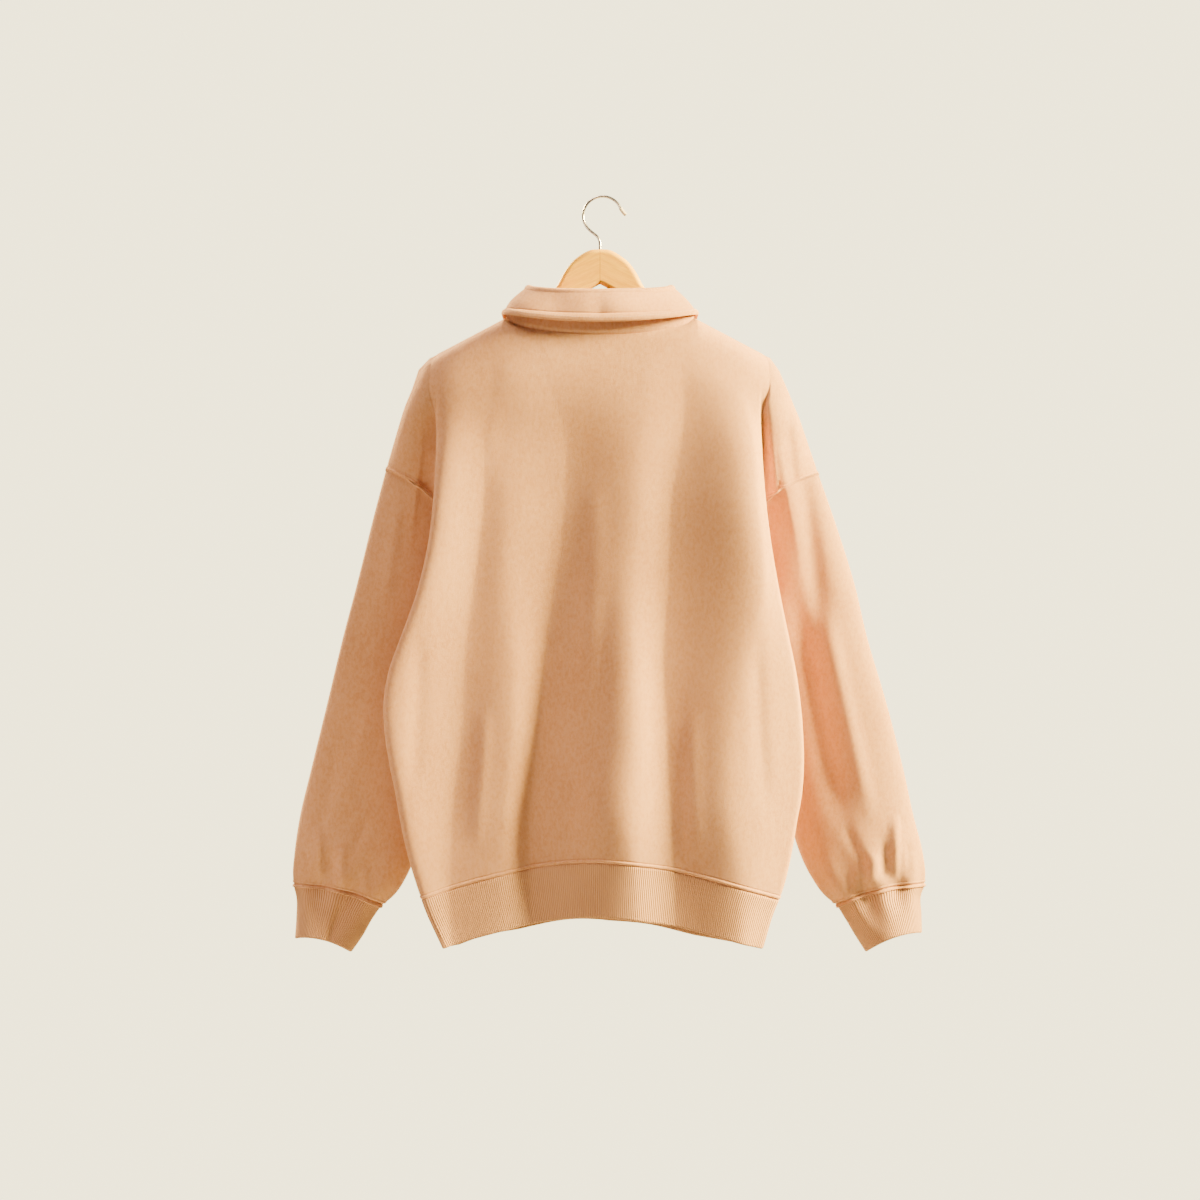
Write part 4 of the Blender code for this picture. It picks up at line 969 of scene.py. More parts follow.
def add_body(garment):
    """Adds the body, the dropped shoulders and the hem's rib.

    Returns the numbers of the back's and front's points, and of those round each armhole.
    """
    columns = body_columns()
    column, level = np.meshgrid(columns, LEVELS)
    across = np.sign(column) * body_distance(column) * CUT_STRETCH
    rows = {}
    for is_back in (True, False):
        points = (back_points if is_back else front_points)(column, level)
        cut = np.stack((across, points[..., 2]), -1)
        index = garment.add(points, body_relief(points, level, is_back), cut)
        if not is_back:
            back = rows[True]
            index[UNDERARM_ROW:, [0, -1]] = back[UNDERARM_ROW:, [0, -1]]
            on_seam = np.abs(columns) >= NECK_EDGE
            index[0, on_seam] = back[0, on_seam]
        piece = "back" if is_back else "front"
        garment.patch(piece, index[: HEM_ROW + 1], not is_back)
        garment.patch("hem_rib", index[HEM_ROW:], not is_back)
        rows[is_back] = index
    armholes = {}
    for side in (LEFT, RIGHT):
        shoulder = {}
        for is_back in (True, False):
            steps = side * np.linspace(CREASE_COLUMN, FOLD_COLUMN, SLEEVE_PARTS + 1)
            column, level = np.meshgrid(steps, LEVELS[: UNDERARM_ROW + 1])
            points = shoulder_points(column, level, is_back)
            height = bands((UNDERARM_LEVEL - level) * HEM_LENGTH, ARMHOLE_BANDS)
            table = SHOULDER_CREASES if is_back else SHOULDER_FRONT_CREASES
            across = (np.abs(column) - CREASE_COLUMN) / SLEEVE_STEPS
            face = smooth(np.sin(math.pi * across) * CREASE_FACE)
            height += face * creases(table[side], points[..., 0], -points[..., 2])
            cut = np.stack((column * SHOULDER_CUT_STEP, points[..., 2]), -1)
            index = garment.add(points, height, cut)
            index[:, 0] = rows[is_back][: UNDERARM_ROW + 1, 0 if side == LEFT else -1]
            if not is_back:
                index[:, -1] = shoulder[True][:, -1]
                index[0] = shoulder[True][0]
            garment.patch("back" if is_back else "front", index, (side == LEFT) == is_back)
            shoulder[is_back] = index
        armholes[side] = np.concatenate((shoulder[True][-1], shoulder[False][-1, -2:0:-1]))
    return rows, armholes


def add_sleeve(garment, side, armhole):
    arounds = np.arange(len(armhole)) * 2 / len(armhole)
    around, length = np.meshgrid(arounds, LENGTHS)
    points = sleeve_points(side, around, length)
    height = rib_relief((1 - length) * SLEEVE_LENGTH)
    height += bands(-length * SLEEVE_LENGTH, ARMHOLE_BANDS)
    x, drop = points[..., 0], -points[..., 2]
    near, far = SLEEVE_CREASES[side], SLEEVE_FRONT_CREASES[side]
    face = smooth(np.abs(np.sin(math.pi * around)) * CREASE_FACE)
    height += face * np.where(around <= 1, creases(near, x, drop), creases(far, x, drop))
    cut = np.stack((around * SLEEVE_CUT_WIDTH, -length * SLEEVE_LENGTH), -1)
    index = garment.add(points, height, cut)
    index[0] = armhole
    index = np.concatenate((index, index[:, :1]), axis=1)
    name = "left" if side == LEFT else "right"
    garment.patch("sleeve_" + name, index[: CUFF_ROW + 1], side == RIGHT)
    garment.patch("cuff_" + name, index[CUFF_ROW:], side == RIGHT)
    return index


# --- Materials ---


class Finish:
    """A material while it is being made."""

    def __init__(self, name, **uniform):
        self.material = bpy.data.materials.new(name + "_look")
        self.material.use_nodes = True
        self.tree = self.material.node_tree
        self.shader = self.tree.nodes["Principled BSDF"]
        for socket, value in uniform.items():
            self.shader.inputs[socket.replace("_", " ")].default_value = value

    def join(self, socket, value):
        if isinstance(value, bpy.types.NodeSocket):
            self.tree.links.new(value, socket)
        else:
            socket.default_value = value

    def node(self, kind, inputs, output=0, **settings):
        made = self.tree.nodes.new("ShaderNode" + kind)
        for name, value in settings.items():
            setattr(made, name, value)
        for key, value in inputs.items():
            self.join(made.inputs[key], value)
        return made.outputs[output]

    def math(self, operation, *values):
        return self.node("Math", dict(enumerate(values)), operation=operation)

    def noise(self, scale, detail=3.0, roughness=0.5, stretch=(1, 1, 1), vector=None):
        vector = vector or self.node("TexCoord", {}, output=3)
        if stretch != (1, 1, 1):
            vector = self.node("Mapping", {"Vector": vector, "Scale": stretch})
        inputs = {"Vector": vector, "Scale": scale, "Detail": detail, "Roughness": roughness}
        return self.node("TexNoise", inputs)

    def ramp(self, value, *stops):
        """Colours at places between 0 and 1."""
        made = self.tree.nodes.new("ShaderNodeValToRGB")
        ramp = made.color_ramp
        while len(ramp.elements) < len(stops):
            ramp.elements.new(0.5)
        for element, (place, colour) in zip(ramp.elements, stops):
            element.position, element.color = place, (*colour, 1.0)
        self.join(made.inputs[0], value)
        return made.outputs[0]

    def shade(self, colour, factor, other):
        """A colour mixed with another one, which is given as red, green and blue."""
        made = self.tree.nodes.new("ShaderNodeMix")
        made.data_type = "RGBA"
        for key, value in ((0, factor), (6, colour), (7, (*other, 1.0))):
            self.join(made.inputs[key], value)
        return made.outputs[2]

    def cut_place(self, axis):
        """The place in the flat cut, in metres: 0 is across it and 1 is along it."""
        place = self.node("UVMap", {}, uv_map="cut")
        return self.node("SeparateXYZ", {"Vector": place}, output=axis)

    def level(self, value, low, high):
        """A value between 0 and 1, spread between two others."""
        return self.node("MapRange", {"Value": value, "To Min": low, "To Max": high})

    def bumps(self, *layers):
        """Bumps laid over each other: each a height from 0 to 1 and how far that is in metres."""
        normal = None
        for height, distance in layers:
            inputs = {"Height": height, "Distance": distance, "Strength": 1.0}
            if normal:
                inputs["Normal"] = normal
            normal = self.node("Bump", inputs)
        self.join(self.shader.inputs["Normal"], normal)

    def finish(self, colour, roughness=None):
        self.join(self.shader.inputs["Base Color"], colour)
        if roughness is not None:
            self.join(self.shader.inputs["Roughness"], roughness)
        return self.material


def linear(red, green, blue):
    """An sRGB colour from 0 to 255, as a linear one."""
    return tuple((value / 255) ** 2.2 for value in (red, green, blue))


KNIT = {
    "Sheen_Roughness": 0.45,
    "Sheen_Tint": (*linear(255, 226, 200), 1.0),
    "Specular_IOR_Level": 0.22,
}


def wales(finish, across, down):
    """The height of plain knit: columns of V-shaped loops. The pitches are in units of the cut."""
    u, v = finish.cut_place(0), finish.cut_place(1)
    column = finish.math("FRACT", finish.math("DIVIDE", u, across))
    slant = finish.math("ABSOLUTE", finish.math("SUBTRACT", column, 0.5))
    lean = finish.math("MULTIPLY", slant, 1.4)
    course = finish.math("ADD", finish.math("DIVIDE", v, down), lean)
    loop = finish.math("SINE", finish.math("MULTIPLY", course, 2 * math.pi))
    side = finish.math("SINE", finish.math("MULTIPLY", slant, 2 * math.pi))
    loop = finish.math("MULTIPLY", finish.math("ADD", loop, 1.6), 0.3)
    return finish.math("MULTIPLY", side, loop)


def ribs(finish, pitch):
    """The height of a fine rib: rounded columns with a narrow furrow between them."""
    wave = finish.math("SINE", finish.math("MULTIPLY", finish.cut_place(0), math.pi / pitch))
    return finish.math("SQRT", finish.math("ABSOLUTE", wave))


def jersey():
    """Heavy sweatshirt cloth: plain knit with a soft, slightly brushed face."""
    made = Finish("jersey", Roughness=0.9, Sheen_Weight=0.32, **KNIT)
    knit = wales(made, WALE_PITCH, COURSE_PITCH)
    cloud = made.noise(9.0, 4.0, 0.55)
    melange = made.noise(330.0, 4.0, 0.75, (1, 1, 0.6))
    flecks = made.ramp(melange, (0.42, (0.0,) * 3), (0.70, (0.34,) * 3))
    pits = made.ramp(melange, (0.30, (0.26,) * 3), (0.5, (0.0,) * 3))
    colour = made.ramp(cloud, (0.3, JERSEY_DARK), (0.7, JERSEY_LIGHT))
    colour = made.shade(colour, flecks, JERSEY_FLECK)
    colour = made.shade(colour, pits, JERSEY_PIT_AND_GROOVE_SHADE)
    # Painted shade: the jersey is darkened in the grooves between the knit's loops, following the
    # knit's height.
    colour = made.shade(colour, made.level(knit, 0.24, 0.0), JERSEY_PIT_AND_GROOVE_SHADE)
    fuzz = made.noise(620.0, 4.0, 0.8)
    soft = made.noise(30.0, 3.0, 0.5, (1, 1, 0.45))
    nap = made.noise(150.0, 3.0, 0.6, (1, 1, 0.6))
    made.bumps((soft, 0.0011), (nap, 0.00026), (knit, 0.00026), (fuzz, 0.00028))
    return made.finish(colour, made.level(melange, 0.82, 0.98))


def rib(name, pitch):
    """Fine ribbed knit, of a smoother yarn than the jersey."""
    made = Finish(name, Roughness=0.85, Sheen_Weight=0.22, **KNIT)
    height = ribs(made, pitch)
    cloud = made.noise(14.0, 4.0, 0.55)
    melange = made.noise(500.0, 4.0, 0.7, (1, 1, 0.3))
    colour = made.ramp(cloud, (0.3, RIB_DARK), (0.7, RIB_LIGHT))
    colour = made.shade(colour, made.level(melange, 0.0, 0.25), JERSEY_FLECK)
    # Painted shade: the rib is darkened in the furrows between its ribs, following the rib's
    # height.
    colour = made.shade(colour, made.level(height, 0.6, 0.0), JERSEY_PIT_AND_GROOVE_SHADE)
    fuzz = made.noise(900.0, 3.0, 0.8)
    made.bumps((height, 0.0010), (fuzz, 0.00015))
    return made.finish(colour)


def thread():
    made = Finish("thread", Roughness=0.6, Sheen_Weight=0.1)
    twist = made.noise(1500.0, 2.0, 0.6)
    made.bumps((twist, 0.00008))
    colour = made.ramp(twist, (0.3, linear(198, 160, 134)), (0.7, linear(238, 208, 184)))
    return made.finish(colour)


def wood():
    """Pale varnished wood, with the joint of its two halves down the middle."""
    gloss = {"Coat_Weight": 0.03, "Coat_Roughness": 0.3, "Specular_IOR_Level": 0.2}
    made = Finish("wood", Roughness=0.5, **gloss)
    place = made.node("TexCoord", {}, output=3)
    x = made.node("SeparateXYZ", {"Vector": place})
    away = made.math("ABSOLUTE", made.math("SUBTRACT", x, CENTRE_X))
    z = made.node("SeparateXYZ", {"Vector": place}, output=2)
    run = made.math("ADD", z, made.math("MULTIPLY", away, GRAIN_SLOPE))
    bent = made.node("CombineXYZ", {0: made.math("MULTIPLY", x, 0.12), 1: 0.0, 2: run})
    streaks = made.noise(260.0, 5.0, 0.62, vector=bent)
    broad = made.noise(46.0, 3.0, 0.5, vector=bent)
    colour = made.ramp(broad, (0.3, (0.94, 0.50, 0.0)), (0.7, (1.0, 0.61, 0.0)))
    dark = (0.66, 0.28, 0.0)
    grain = made.ramp(streaks, (0.42, (0.45,) * 3), (0.6, (0.0,) * 3))
    colour = made.shade(colour, grain, dark)
    joint = made.math("LESS_THAN", away, 0.00035)
    colour = made.shade(colour, made.math("MULTIPLY", joint, 0.6), linear(150, 98, 50))
    made.bumps((streaks, 0.0002))
    return made.finish(colour, made.level(streaks, 0.5, 0.32))


def wire():
    """Chromed steel wire with a fine brushed finish."""
    made = Finish("wire", Metallic=1.0, Roughness=0.22)
    marks = made.noise(340.0, 3.0, 0.6, (1, 1, 0.2))
    made.bumps((marks, 0.000012))
    colour = made.ramp(marks, (0.3, linear(206, 200, 192)), (0.7, linear(238, 233, 226)))
    return made.finish(colour, made.level(marks, 0.16, 0.34))


def button():
    """Pale cast resin with soft clouds, like horn."""
    made = Finish("button", Roughness=0.28, Coat_Weight=0.3, Coat_Roughness=0.1)
    cloud = made.noise(150.0, 4.0, 0.6, (1, 1, 0.5))
    made.bumps((made.noise(700.0, 2.0), 0.00003))
    low, middle, high = linear(206, 158, 118), linear(226, 184, 148), linear(240, 210, 180)
    colour = made.ramp(cloud, (0.3, low), (0.55, middle), (0.75, high))
    return made.finish(colour, made.level(cloud, 0.22, 0.36))


def tip_cap():
    """The clear, slightly yellow sleeve on the hook's tip."""
    made = Finish("tip_cap", Roughness=0.35, Coat_Weight=0.3)
    cloud = made.noise(400.0, 2.0)
    made.bumps((cloud, 0.00005))
    colour = made.ramp(cloud, (0.3, linear(214, 200, 176)), (0.7, linear(236, 226, 206)))
    return made.finish(colour)


MAKERS = {
    "jersey": jersey,
    "rib": lambda: rib("rib", RIB_PITCH),
    "cuff_rib": lambda: rib("cuff_rib", CUFF_RIB_PITCH),
    "thread": thread,
    "wood": wood,
    "wire": wire,
    "button": button,
    "tip_cap": tip_cap,
}


def material(name):
    return bpy.data.materials.get(name + "_look") or MAKERS[name]()


# --- Collar, placket and buttons ---


def ring_points(angle, half_width, depths, drops, squareness=1.0, lean=1.0):
    """Points of an oval ring round the neck. The angle is 0 at the middle of the back."""
    forward = -np.cos(angle)
    depth = np.where(forward < 0, depths[0], depths[1])
    middle_drop = np.where(forward < 0, drops[0], drops[2])
    x = CENTRE_X + half_width * np.sin(angle)
    y = depth * np.sign(forward) * np.abs(forward) ** squareness
    return np.stack((x, y, -mix(drops[1], middle_drop, np.abs(forward) ** lean)), -1)


def collar_points(angle):
    """The collar from the stand's foot over the fold to the free edge, at angles round the neck."""
    neck_drops = (NECK_SIDE_DROP + NECK_BACK_FALL, NECK_SIDE_DROP, NECK_SIDE_DROP + NECK_FRONT_FALL)
    neck_depths = (NECK_BACK_DEPTH, NECK_FRONT_DEPTH)
    foot = ring_points(angle, NECK_HALF_WIDTH, neck_depths, neck_drops, NECK_SQUARENESS)
    foot[:, 2] += mix(COLLAR_SEAT_BACK, COLLAR_SEAT_SIDE, np.abs(np.sin(angle)) ** 3)
    fold_depths = (FOLD_BACK_DEPTH, FOLD_FRONT_DEPTH)
    fold_drops = (FOLD_BACK_DROP, FOLD_SIDE_DROP, FOLD_FRONT_DROP)
    fold = ring_points(angle, FOLD_HALF_WIDTH, fold_depths, fold_drops)
    fall_depths = (FALL_BACK_DEPTH, FALL_FRONT_DEPTH)
    fall_drops = (FALL_BACK_DROP, FALL_SIDE_DROP, FALL_FRONT_DROP)
    turned = angle * FALL_TURN
    edge = ring_points(turned, FALL_HALF_WIDTH, fall_depths, fall_drops, FALL_SQUARENESS, FALL_LEAN)
    out = fold - (CENTRE_X, 0.0, 0.0)
    out[:, 2] = 0.0
    out /= np.linalg.norm(out, axis=1)[:, None]
    centre = fold - (0.0, 0.0, FOLD_RADIUS)
    stand = np.linspace(0, 1, COLLAR_STAND_ROWS + 1)
    rows = [mix(foot, centre - out * FOLD_RADIUS, share) for share in stand[:-1]]
    hidden = smooth(np.abs(np.cos(angle)) * FOOT_SPREAD)[:, None]
    rows[0] = foot - out * FOOT_INSET * hidden
    rows[0:0] = [foot - (out * FOOT_INSET + (0.0, 0.0, FOOT_REACH)) * hidden]
    for turn in np.linspace(0, math.pi, COLLAR_FOLD_ROWS + 1):
        rise = np.array((0.0, 0.0, FOLD_RADIUS * math.sin(turn)))
        rows.append(centre - out * FOLD_RADIUS * math.cos(turn) + rise)
    for share in np.linspace(0, 1, COLLAR_FALL_ROWS + 1)[1:]:
        bulge = FALL_BULGE * math.sin(math.pi * share)
        rows.append(mix(centre + out * FOLD_RADIUS, edge, share) + out * bulge)
    return np.stack(rows, axis=1)


def along(points):
    """The distance along each line of points."""
    steps = np.linalg.norm(np.diff(points, axis=-2), axis=-1)
    return np.concatenate((np.zeros_like(steps[..., :1]), np.cumsum(steps, axis=-1)), axis=-1)


def add_collar():
    last = math.pi - COLLAR_FRONT_GAP
    turn = np.linspace(-1, 1, COLLAR_COLUMNS)
    turn += COLLAR_CROWDING * np.sin(2 * math.pi * turn) / (2 * math.pi)
    points = collar_points(last * turn)
    down = along(points)
    to_edge = down[:, -1:] - down
    height = COLLAR_BAND_HEIGHT * (1 - smooth((to_edge - COLLAR_BAND) / COLLAR_BAND_STEP))
    height += bands(to_edge, COLLAR_BANDS)
    x = points[..., 0]
    height -= bands(x, COLLAR_CREASES) * smooth(to_edge / COLLAR_CREASE_FADE)
    wave = COLLAR_WAVE * np.sin(x * COLLAR_WAVE_TURN + COLLAR_WAVE_START)
    height += wave * smooth(to_edge / COLLAR_WAVE_FADE)
    height *= smooth(down / COLLAR_FALL_START - 1.0)
    cut = np.stack((np.broadcast_to(turn[:, None] * COLLAR_CUT_HALF, down.shape), -down), -1)
    collar = Garment()
    index = collar.add(points, height, cut)
    collar.patch("collar", index, True)
    collar.close()
    edges = np.unique(np.concatenate((index[:, -1], index[0], index[-1])))
    quads = collar.faces["collar"]
    made = add_wall("collar_cloth", collar, quads, COLLAR_CLOTH, "jersey", round_edge=edges)
    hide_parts("collar")
    row = index.shape[1] - 1 - int(round(COLLAR_BAND / (down[0, -1] - down[0, -2])))
    add_stitches("collar_stitches", [seam_line(collar, index[:, row])], COLLAR_CLOTH / 2)
    return made


def add_placket(garment, rows):
    """Two strips on the middle of the front, one over the other, with the cloth between them."""
    grid = rows[False]
    first = nearest(LEVELS, BODY_ROWS[PLACKET_FIRST_ROW]) + 1
    last = nearest(LEVELS, BODY_ROWS[PLACKET_LAST_ROW])
    middle = grid.shape[1] // 2
    strip = Garment()
    strip.points, strip.normals, strip.cuts = garment.points, garment.normals, garment.cuts
    strip.count = garment.count
    cells = grid[first : last + 1, middle - COLUMN_PARTS : middle + COLUMN_PARTS + 1]
    strip.patch("strip", cells, True)
    strip.faces = {"strip": np.concatenate(strip.faces["strip"])}
    lift = JERSEY / 2 + SEAM_GAP + PLACKET_CLOTH / 2
    quads, pieces = strip.faces["strip"], {}
    for name, way in (("placket_over", 1), ("placket_under", -1)):
        made = add_wall(name + "_cloth", strip, quads, PLACKET_CLOTH, "jersey", way * lift)
        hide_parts(name)
        pieces[name] = made
    loop = [seam_line(garment, line) for line in (cells[:, 1], cells[-2, :], cells[:, -2])]
    add_stitches("placket_stitches", loop, lift + PLACKET_CLOTH / 2)
    return pieces


def lathe(name, profile, steps, place):
    """A body turned round the Y axis, of rings with a radius and a height."""
    x, y, z = place
    turns = np.linspace(0, 2 * math.pi, steps, endpoint=False)
    rings = [
        [(x + radius * math.sin(t), y + height, z + radius * math.cos(t)) for t in turns]
        for radius, height in profile
    ]
    return add_object(name, loft(name, rings), "button", 35, rides=False)


def add_buttons():
    """Turned discs with a dished face and four holes, sewn on with a cross of thread."""
    for number in (1, 2, 3):
        low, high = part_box(f"button_{number}")
        x, z = (low[0] + high[0]) / 2, (low[2] + high[2]) / 2
        y = low[1]
        disc = lathe(f"button_{number}_disc", BUTTON_RINGS, BUTTON_SIDES, (x, y, z))
        holes = []
        for dx, dz in BUTTON_HOLES:
            place = (x + dx * HOLE_OFFSET, y + HOLE_START, z + dz * HOLE_OFFSET)
            profile = ((HOLE_RADIUS, 0.0), (HOLE_RADIUS, HOLE_DEPTH))
            hole = lathe("hole", profile, HOLE_SIDES, place)
            cut = disc.modifiers.new("hole", "BOOLEAN")
            cut.operation, cut.object = "DIFFERENCE", hole
            holes.append(hole)
        graph = bpy.context.evaluated_depsgraph_get()
        mesh = bpy.data.meshes.new_from_object(disc.evaluated_get(graph))
        disc.modifiers.clear()
        disc.data = mesh
        for hole in holes:
            bpy.data.objects.remove(hole)
        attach(disc, "root")
        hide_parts(f"button_{number}")
        top = y + BUTTON_DISH_HEIGHT
        for letter, way in (("a", 1), ("b", -1)):
            route = [
                (x + end * HOLE_OFFSET, top + THREAD_ARCH * (end == 0), z + end * way * HOLE_OFFSET)
                for end in (-1, 0, 1)
            ]
            add_tube(f"button_{number}_thread_{letter}", route, THREAD_RADIUS, "thread", 8)


def add_tube(name, route, radius, finish, sides):
    """A round tube along a smooth route, with closed ends."""
    data = bpy.data.curves.new(name, "CURVE")
    data.dimensions, data.bevel_depth, data.use_fill_caps = "3D", radius, True
    data.bevel_resolution = max(1, sides // 4)
    spline = data.splines.new("POLY")
    spline.points.add(len(route) - 1)
    for point, place in zip(spline.points, route):
        point.co = (*place, 1)
    body = link(name, data)
    graph = bpy.context.evaluated_depsgraph_get()
    bpy.context.view_layer.update()
    mesh = bpy.data.meshes.new_from_object(body.evaluated_get(graph))
    bpy.data.objects.remove(body)
    mesh.name = name
    return add_object(name, mesh, finish, 50)


# --- Sewing thread ---


def stitch_template():
    """A short thread along X that dips into the cloth at both ends: corners and faces."""
    half = ((-0.5, 0.35, -1.1), (-0.36, 0.9, -0.1), (0.0, 1.0, 0.25))
    rings = (*half, (0.36, 0.9, -0.1), (0.5, 0.35, -1.1))
    points, faces = [], []
    for x, size, lift in rings:
        for i in range(6):
            turn = math.pi * i / 3
            points.append((x, size * math.cos(turn), size * math.sin(turn) + lift))
    for ring in range(len(rings) - 1):
        for i in range(6):
            a, b = ring * 6 + i, ring * 6 + (i + 1) % 6
            faces.append((a, a + 6, b + 6, b))
    last = (len(rings) - 1) * 6
    faces += [(0, 1, 2, 3), (0, 3, 4, 5), (last + 3, last + 2, last + 1, last)]
    faces.append((last + 5, last + 4, last + 3, last))
    return np.array(points), np.array(faces)


def add_stitches(name, lines, lift):
    """Stitches along lines of points. Each line is (points, normals)."""
    shape, quads = stitch_template()
    vertices, faces = [], []
    for points, normals in lines:
        distance = along(points)
        count = max(1, int(distance[-1] / STITCH_PITCH))
        pitch = distance[-1] / count
        for i in range(count):
            at = (i + 0.5) * pitch
            ends = [
                np.array([np.interp(at + step, distance, points[:, axis]) for axis in range(3)])
                for step in (-STITCH_REACH * pitch, STITCH_REACH * pitch)
            ]
            normal = np.array([np.interp(at, distance, normals[:, axis]) for axis in range(3)])
            run = ends[1] - ends[0]
            size = np.linalg.norm(run)
            if size < 1e-5:
                continue
            run /= size
            normal -= run * normal.dot(run)
            normal /= np.linalg.norm(normal)
            side = np.cross(normal, run)
            middle = (ends[0] + ends[1]) / 2 + normal * lift
            placed = middle + np.outer(shape[:, 0] * STITCH_LENGTH, run)
            placed += np.outer(shape[:, 1] * THREAD_RADIUS, side)
            placed += np.outer(shape[:, 2] * THREAD_RADIUS, normal)
            faces.append(quads + len(shape) * len(vertices))
            vertices.append(placed)
    made = add_mesh(name, np.concatenate(vertices), np.concatenate(faces), "thread")
    return made


def seam_line(garment, numbers):
    return garment.points[numbers], garment.normals[numbers]


# --- Hanger ---


def hanger_outline():
    """The hanger's outline as (x, z), over the right arm, round its end and back underneath."""
    past_neck = HANGER_ARM_START - NECK_HALF_WIDTH
    arm_top = NECK_SIDE_DROP + SHOULDER_SLOPE * past_neck + HANGER_UNDER_CLOTH
    end_top = arm_top + SHOULDER_SLOPE * (HANGER_HALF_WIDTH - HANGER_ARM_START)
    radius, tilt = HANGER_END_HEIGHT / 2, math.atan(SHOULDER_SLOPE)
    middle = (HANGER_HALF_WIDTH - radius * math.sin(tilt), end_top + radius * math.cos(tilt))
    end = [
        (middle[0] + radius * math.sin(turn), middle[1] - radius * math.cos(turn))
        for turn in np.linspace(tilt, math.pi + tilt, 28)
    ]
    top = np.array((*HANGER_TOP, (HANGER_ARM_START, arm_top)))
    across = stepped(0.0, ((0.05, 39), (HANGER_ARM_START, 29)))
    over = list(zip(across, curve(top[:, 0], top[:, 1], across)))
    low = np.array(HANGER_BOTTOM)
    back = stepped(0.150, ((0.02, 35), (0.0, 11)))
    under = list(zip(back, curve(low[:, 0], low[:, 1], back)))
    half = [*over, *end, *under]
    right = [(CENTRE_X + distance, -drop) for distance, drop in half]
    left = [(CENTRE_X - distance, -drop) for distance, drop in reversed(half[1:-1])]
    return np.array(right + left)


def add_hanger():
    """One flat piece of wood with rounded edges, into which the hook's wire runs."""
    outline = hanger_outline()
    ahead, behind = np.roll(outline, -1, axis=0), np.roll(outline, 1, axis=0)
    tangent = ahead - behind
    tangent /= np.linalg.norm(tangent, axis=1)[:, None]
    inward = np.stack((tangent[:, 1], -tangent[:, 0]), -1)
    half = HANGER_THICKNESS / 2
    profile = [(0.0, 0.0)]
    for turn in np.linspace(0, math.pi / 2, 8):
        inset = HANGER_ROUNDING * (1 - math.cos(turn))
        profile.append((inset, half - HANGER_ROUNDING * (1 - math.sin(turn))))
    profile.append((HANGER_ROUNDING + 0.0006, half))
    levels = [(inset, -y) for inset, y in reversed(profile)] + profile[1:]
    rings = [[(x, y, z) for x, z in outline + inward * inset] for inset, y in levels]
    hanger = add_object("hanger_body", loft("hanger_body", rings), "wood", 40)
    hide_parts("hanger_wood")


def add_hook():
    """Bent wire: a tip with a sleeve, most of a circle, a double bend and a straight end."""
    middle = WIRE_RADIUS - HOOK_RADIUS
    circle = [
        (HOOK_RADIUS * math.cos(t), middle + HOOK_RADIUS * math.sin(t))
        for t in np.linspace(HOOK_START, HOOK_END, 48)[::4]
    ]
    corners = np.array([*HOOK_TIP, *circle, *HOOK_NECK])
    steps = along(corners)
    at = np.linspace(0, steps[-1], HOOK_POINTS)
    xs, zs = (curve(steps, corners[:, axis], at) for axis in (0, 1))
    route = [(x, 0.0, z) for x, z in zip(xs, zs)]
    route.append((CENTRE_X, 0.0, -WIRE_END_DROP))
    hook = add_tube("hook_wire", route, WIRE_RADIUS, "wire", 20)
    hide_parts("hanger_hook")
    cap = add_tube("hook_tip_cap", route[:14], TIP_CAP_RADIUS, "tip_cap", 16)


# --- The scene around it ---


def add_floor():
    mesh = bpy.data.meshes.new("floor")
    turns = np.linspace(0, 2 * math.pi, FLOOR_SIDES, endpoint=False)
    corners = [(FLOOR_RADIUS * math.cos(t), FLOOR_RADIUS * math.sin(t), FLOOR_Z) for t in turns]
    mesh.from_pydata(corners, [], [tuple(range(FLOOR_SIDES))])
    made = Finish("floor", Roughness=0.9)
    grain = made.noise(30.0, 3.0)
    colour = made.ramp(grain, (0.3, (0.80, 0.78, 0.74)), (0.7, (0.84, 0.82, 0.78)))
    mesh.materials.append(made.finish(colour))
    link("floor", mesh)


def add_light(name, place, size, power, colour):
    """A square soft light that faces the middle of the sweater."""
    data = bpy.data.lights.new(name, "AREA")
    data.shape, data.size, data.energy, data.color = "SQUARE", size, power, colour
    light = link(name, data)
    light.location = place
    aim = Vector(SWEATER_MIDDLE) - light.location
    light.rotation_euler = aim.to_track_quat("-Z", "Y").to_euler()


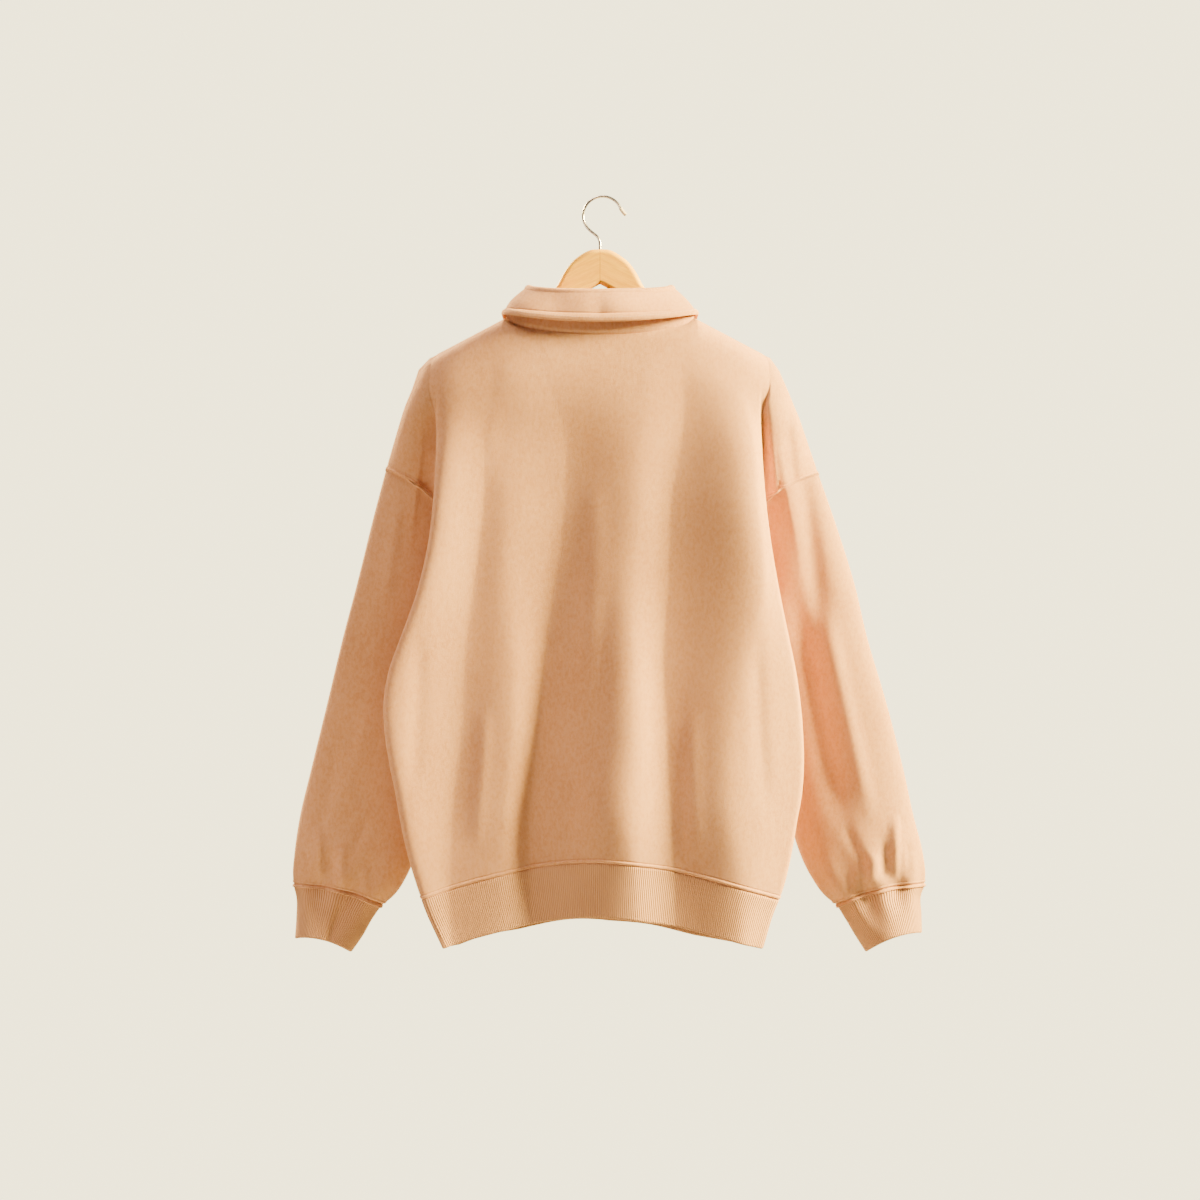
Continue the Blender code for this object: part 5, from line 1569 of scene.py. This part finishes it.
def light_scene():
    """Soft light from all round, and a brighter plain backdrop that only the camera sees."""
    world = bpy.data.worlds.new("studio")
    world.use_nodes = True
    tree = world.node_tree
    fill, backdrop = tree.nodes["Background"], tree.nodes.new("ShaderNodeBackground")
    glows = ((fill, FILL_COLOUR, FILL_STRENGTH), (backdrop, BACKDROP_COLOUR, BACKDROP_STRENGTH))
    for node, colour, strength in glows:
        node.inputs["Color"].default_value = (*colour, 1.0)
        node.inputs["Strength"].default_value = strength
    choice = tree.nodes.new("ShaderNodeMixShader")
    seen = tree.nodes.new("ShaderNodeLightPath").outputs["Is Camera Ray"]
    for place, output in enumerate((seen, fill.outputs[0], backdrop.outputs[0])):
        tree.links.new(output, choice.inputs[place])
    tree.links.new(choice.outputs[0], tree.nodes["World Output"].inputs["Surface"])
    bpy.context.scene.world = world
    for light in LIGHTS:
        add_light(*light)


def add_camera():
    data = bpy.data.cameras.new("photograph")
    data.sensor_width, data.lens = SENSOR, SENSOR * CAMERA_DISTANCE / FRAME_HEIGHT
    camera = link("photograph", data)
    camera.location = (CAMERA_X, GARMENT_PLANE_Y - CAMERA_DISTANCE, CAMERA_Z)
    camera.rotation_euler = (math.pi / 2, 0.0, 0.0)
    bpy.context.scene.camera = camera


# --- The whole part ---

PIECES = {
    # piece of the garment: thickness, material, slot
    "back": (JERSEY, "jersey", "jersey"),
    "front": (JERSEY, "jersey", "jersey"),
    "sleeve_left": (JERSEY, "jersey", "jersey"),
    "sleeve_right": (JERSEY, "jersey", "jersey"),
    "hem_rib": (RIB, "rib", "rib"),
    "cuff_left": (RIB, "cuff_rib", "rib"),
    "cuff_right": (RIB, "cuff_rib", "rib"),
}


def add_garment():
    garment = Garment()
    rows, armholes = add_body(garment)
    sleeves = {side: add_sleeve(garment, side, armholes[side]) for side in (LEFT, RIGHT)}
    garment.close()
    free = [rows[True][-1], rows[False][-1], sleeves[LEFT][-1], sleeves[RIGHT][-1]]
    free = np.unique(np.concatenate(free))
    made = {}
    for name, (thickness, finish, slot) in PIECES.items():
        quads = garment.faces[name]
        piece = add_wall(name + "_cloth", garment, quads, thickness, finish, round_edge=free)
        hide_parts(name)
        made[name] = piece
    return garment, rows, sleeves, made


def add_sewing(garment, rows, sleeves):
    """The stitches beside the seams of the hem and the cuffs."""
    hems = [rows[is_back][HEM_ROW - STITCH_ROWS] for is_back in (True, False)]
    cuffs = [sleeves[side][CUFF_ROW - STITCH_ROWS] for side in (LEFT, RIGHT)]
    add_stitches("seam_stitches", [seam_line(garment, line) for line in hems + cuffs], JERSEY / 2)


def main():
    garment, rows, sleeves, made = add_garment()
    add_sewing(garment, rows, sleeves)
    made["collar"] = add_collar()
    made.update(add_placket(garment, rows))
    add_buttons()
    add_hanger()
    add_hook()
    add_floor()
    light_scene()
    add_camera()


main()
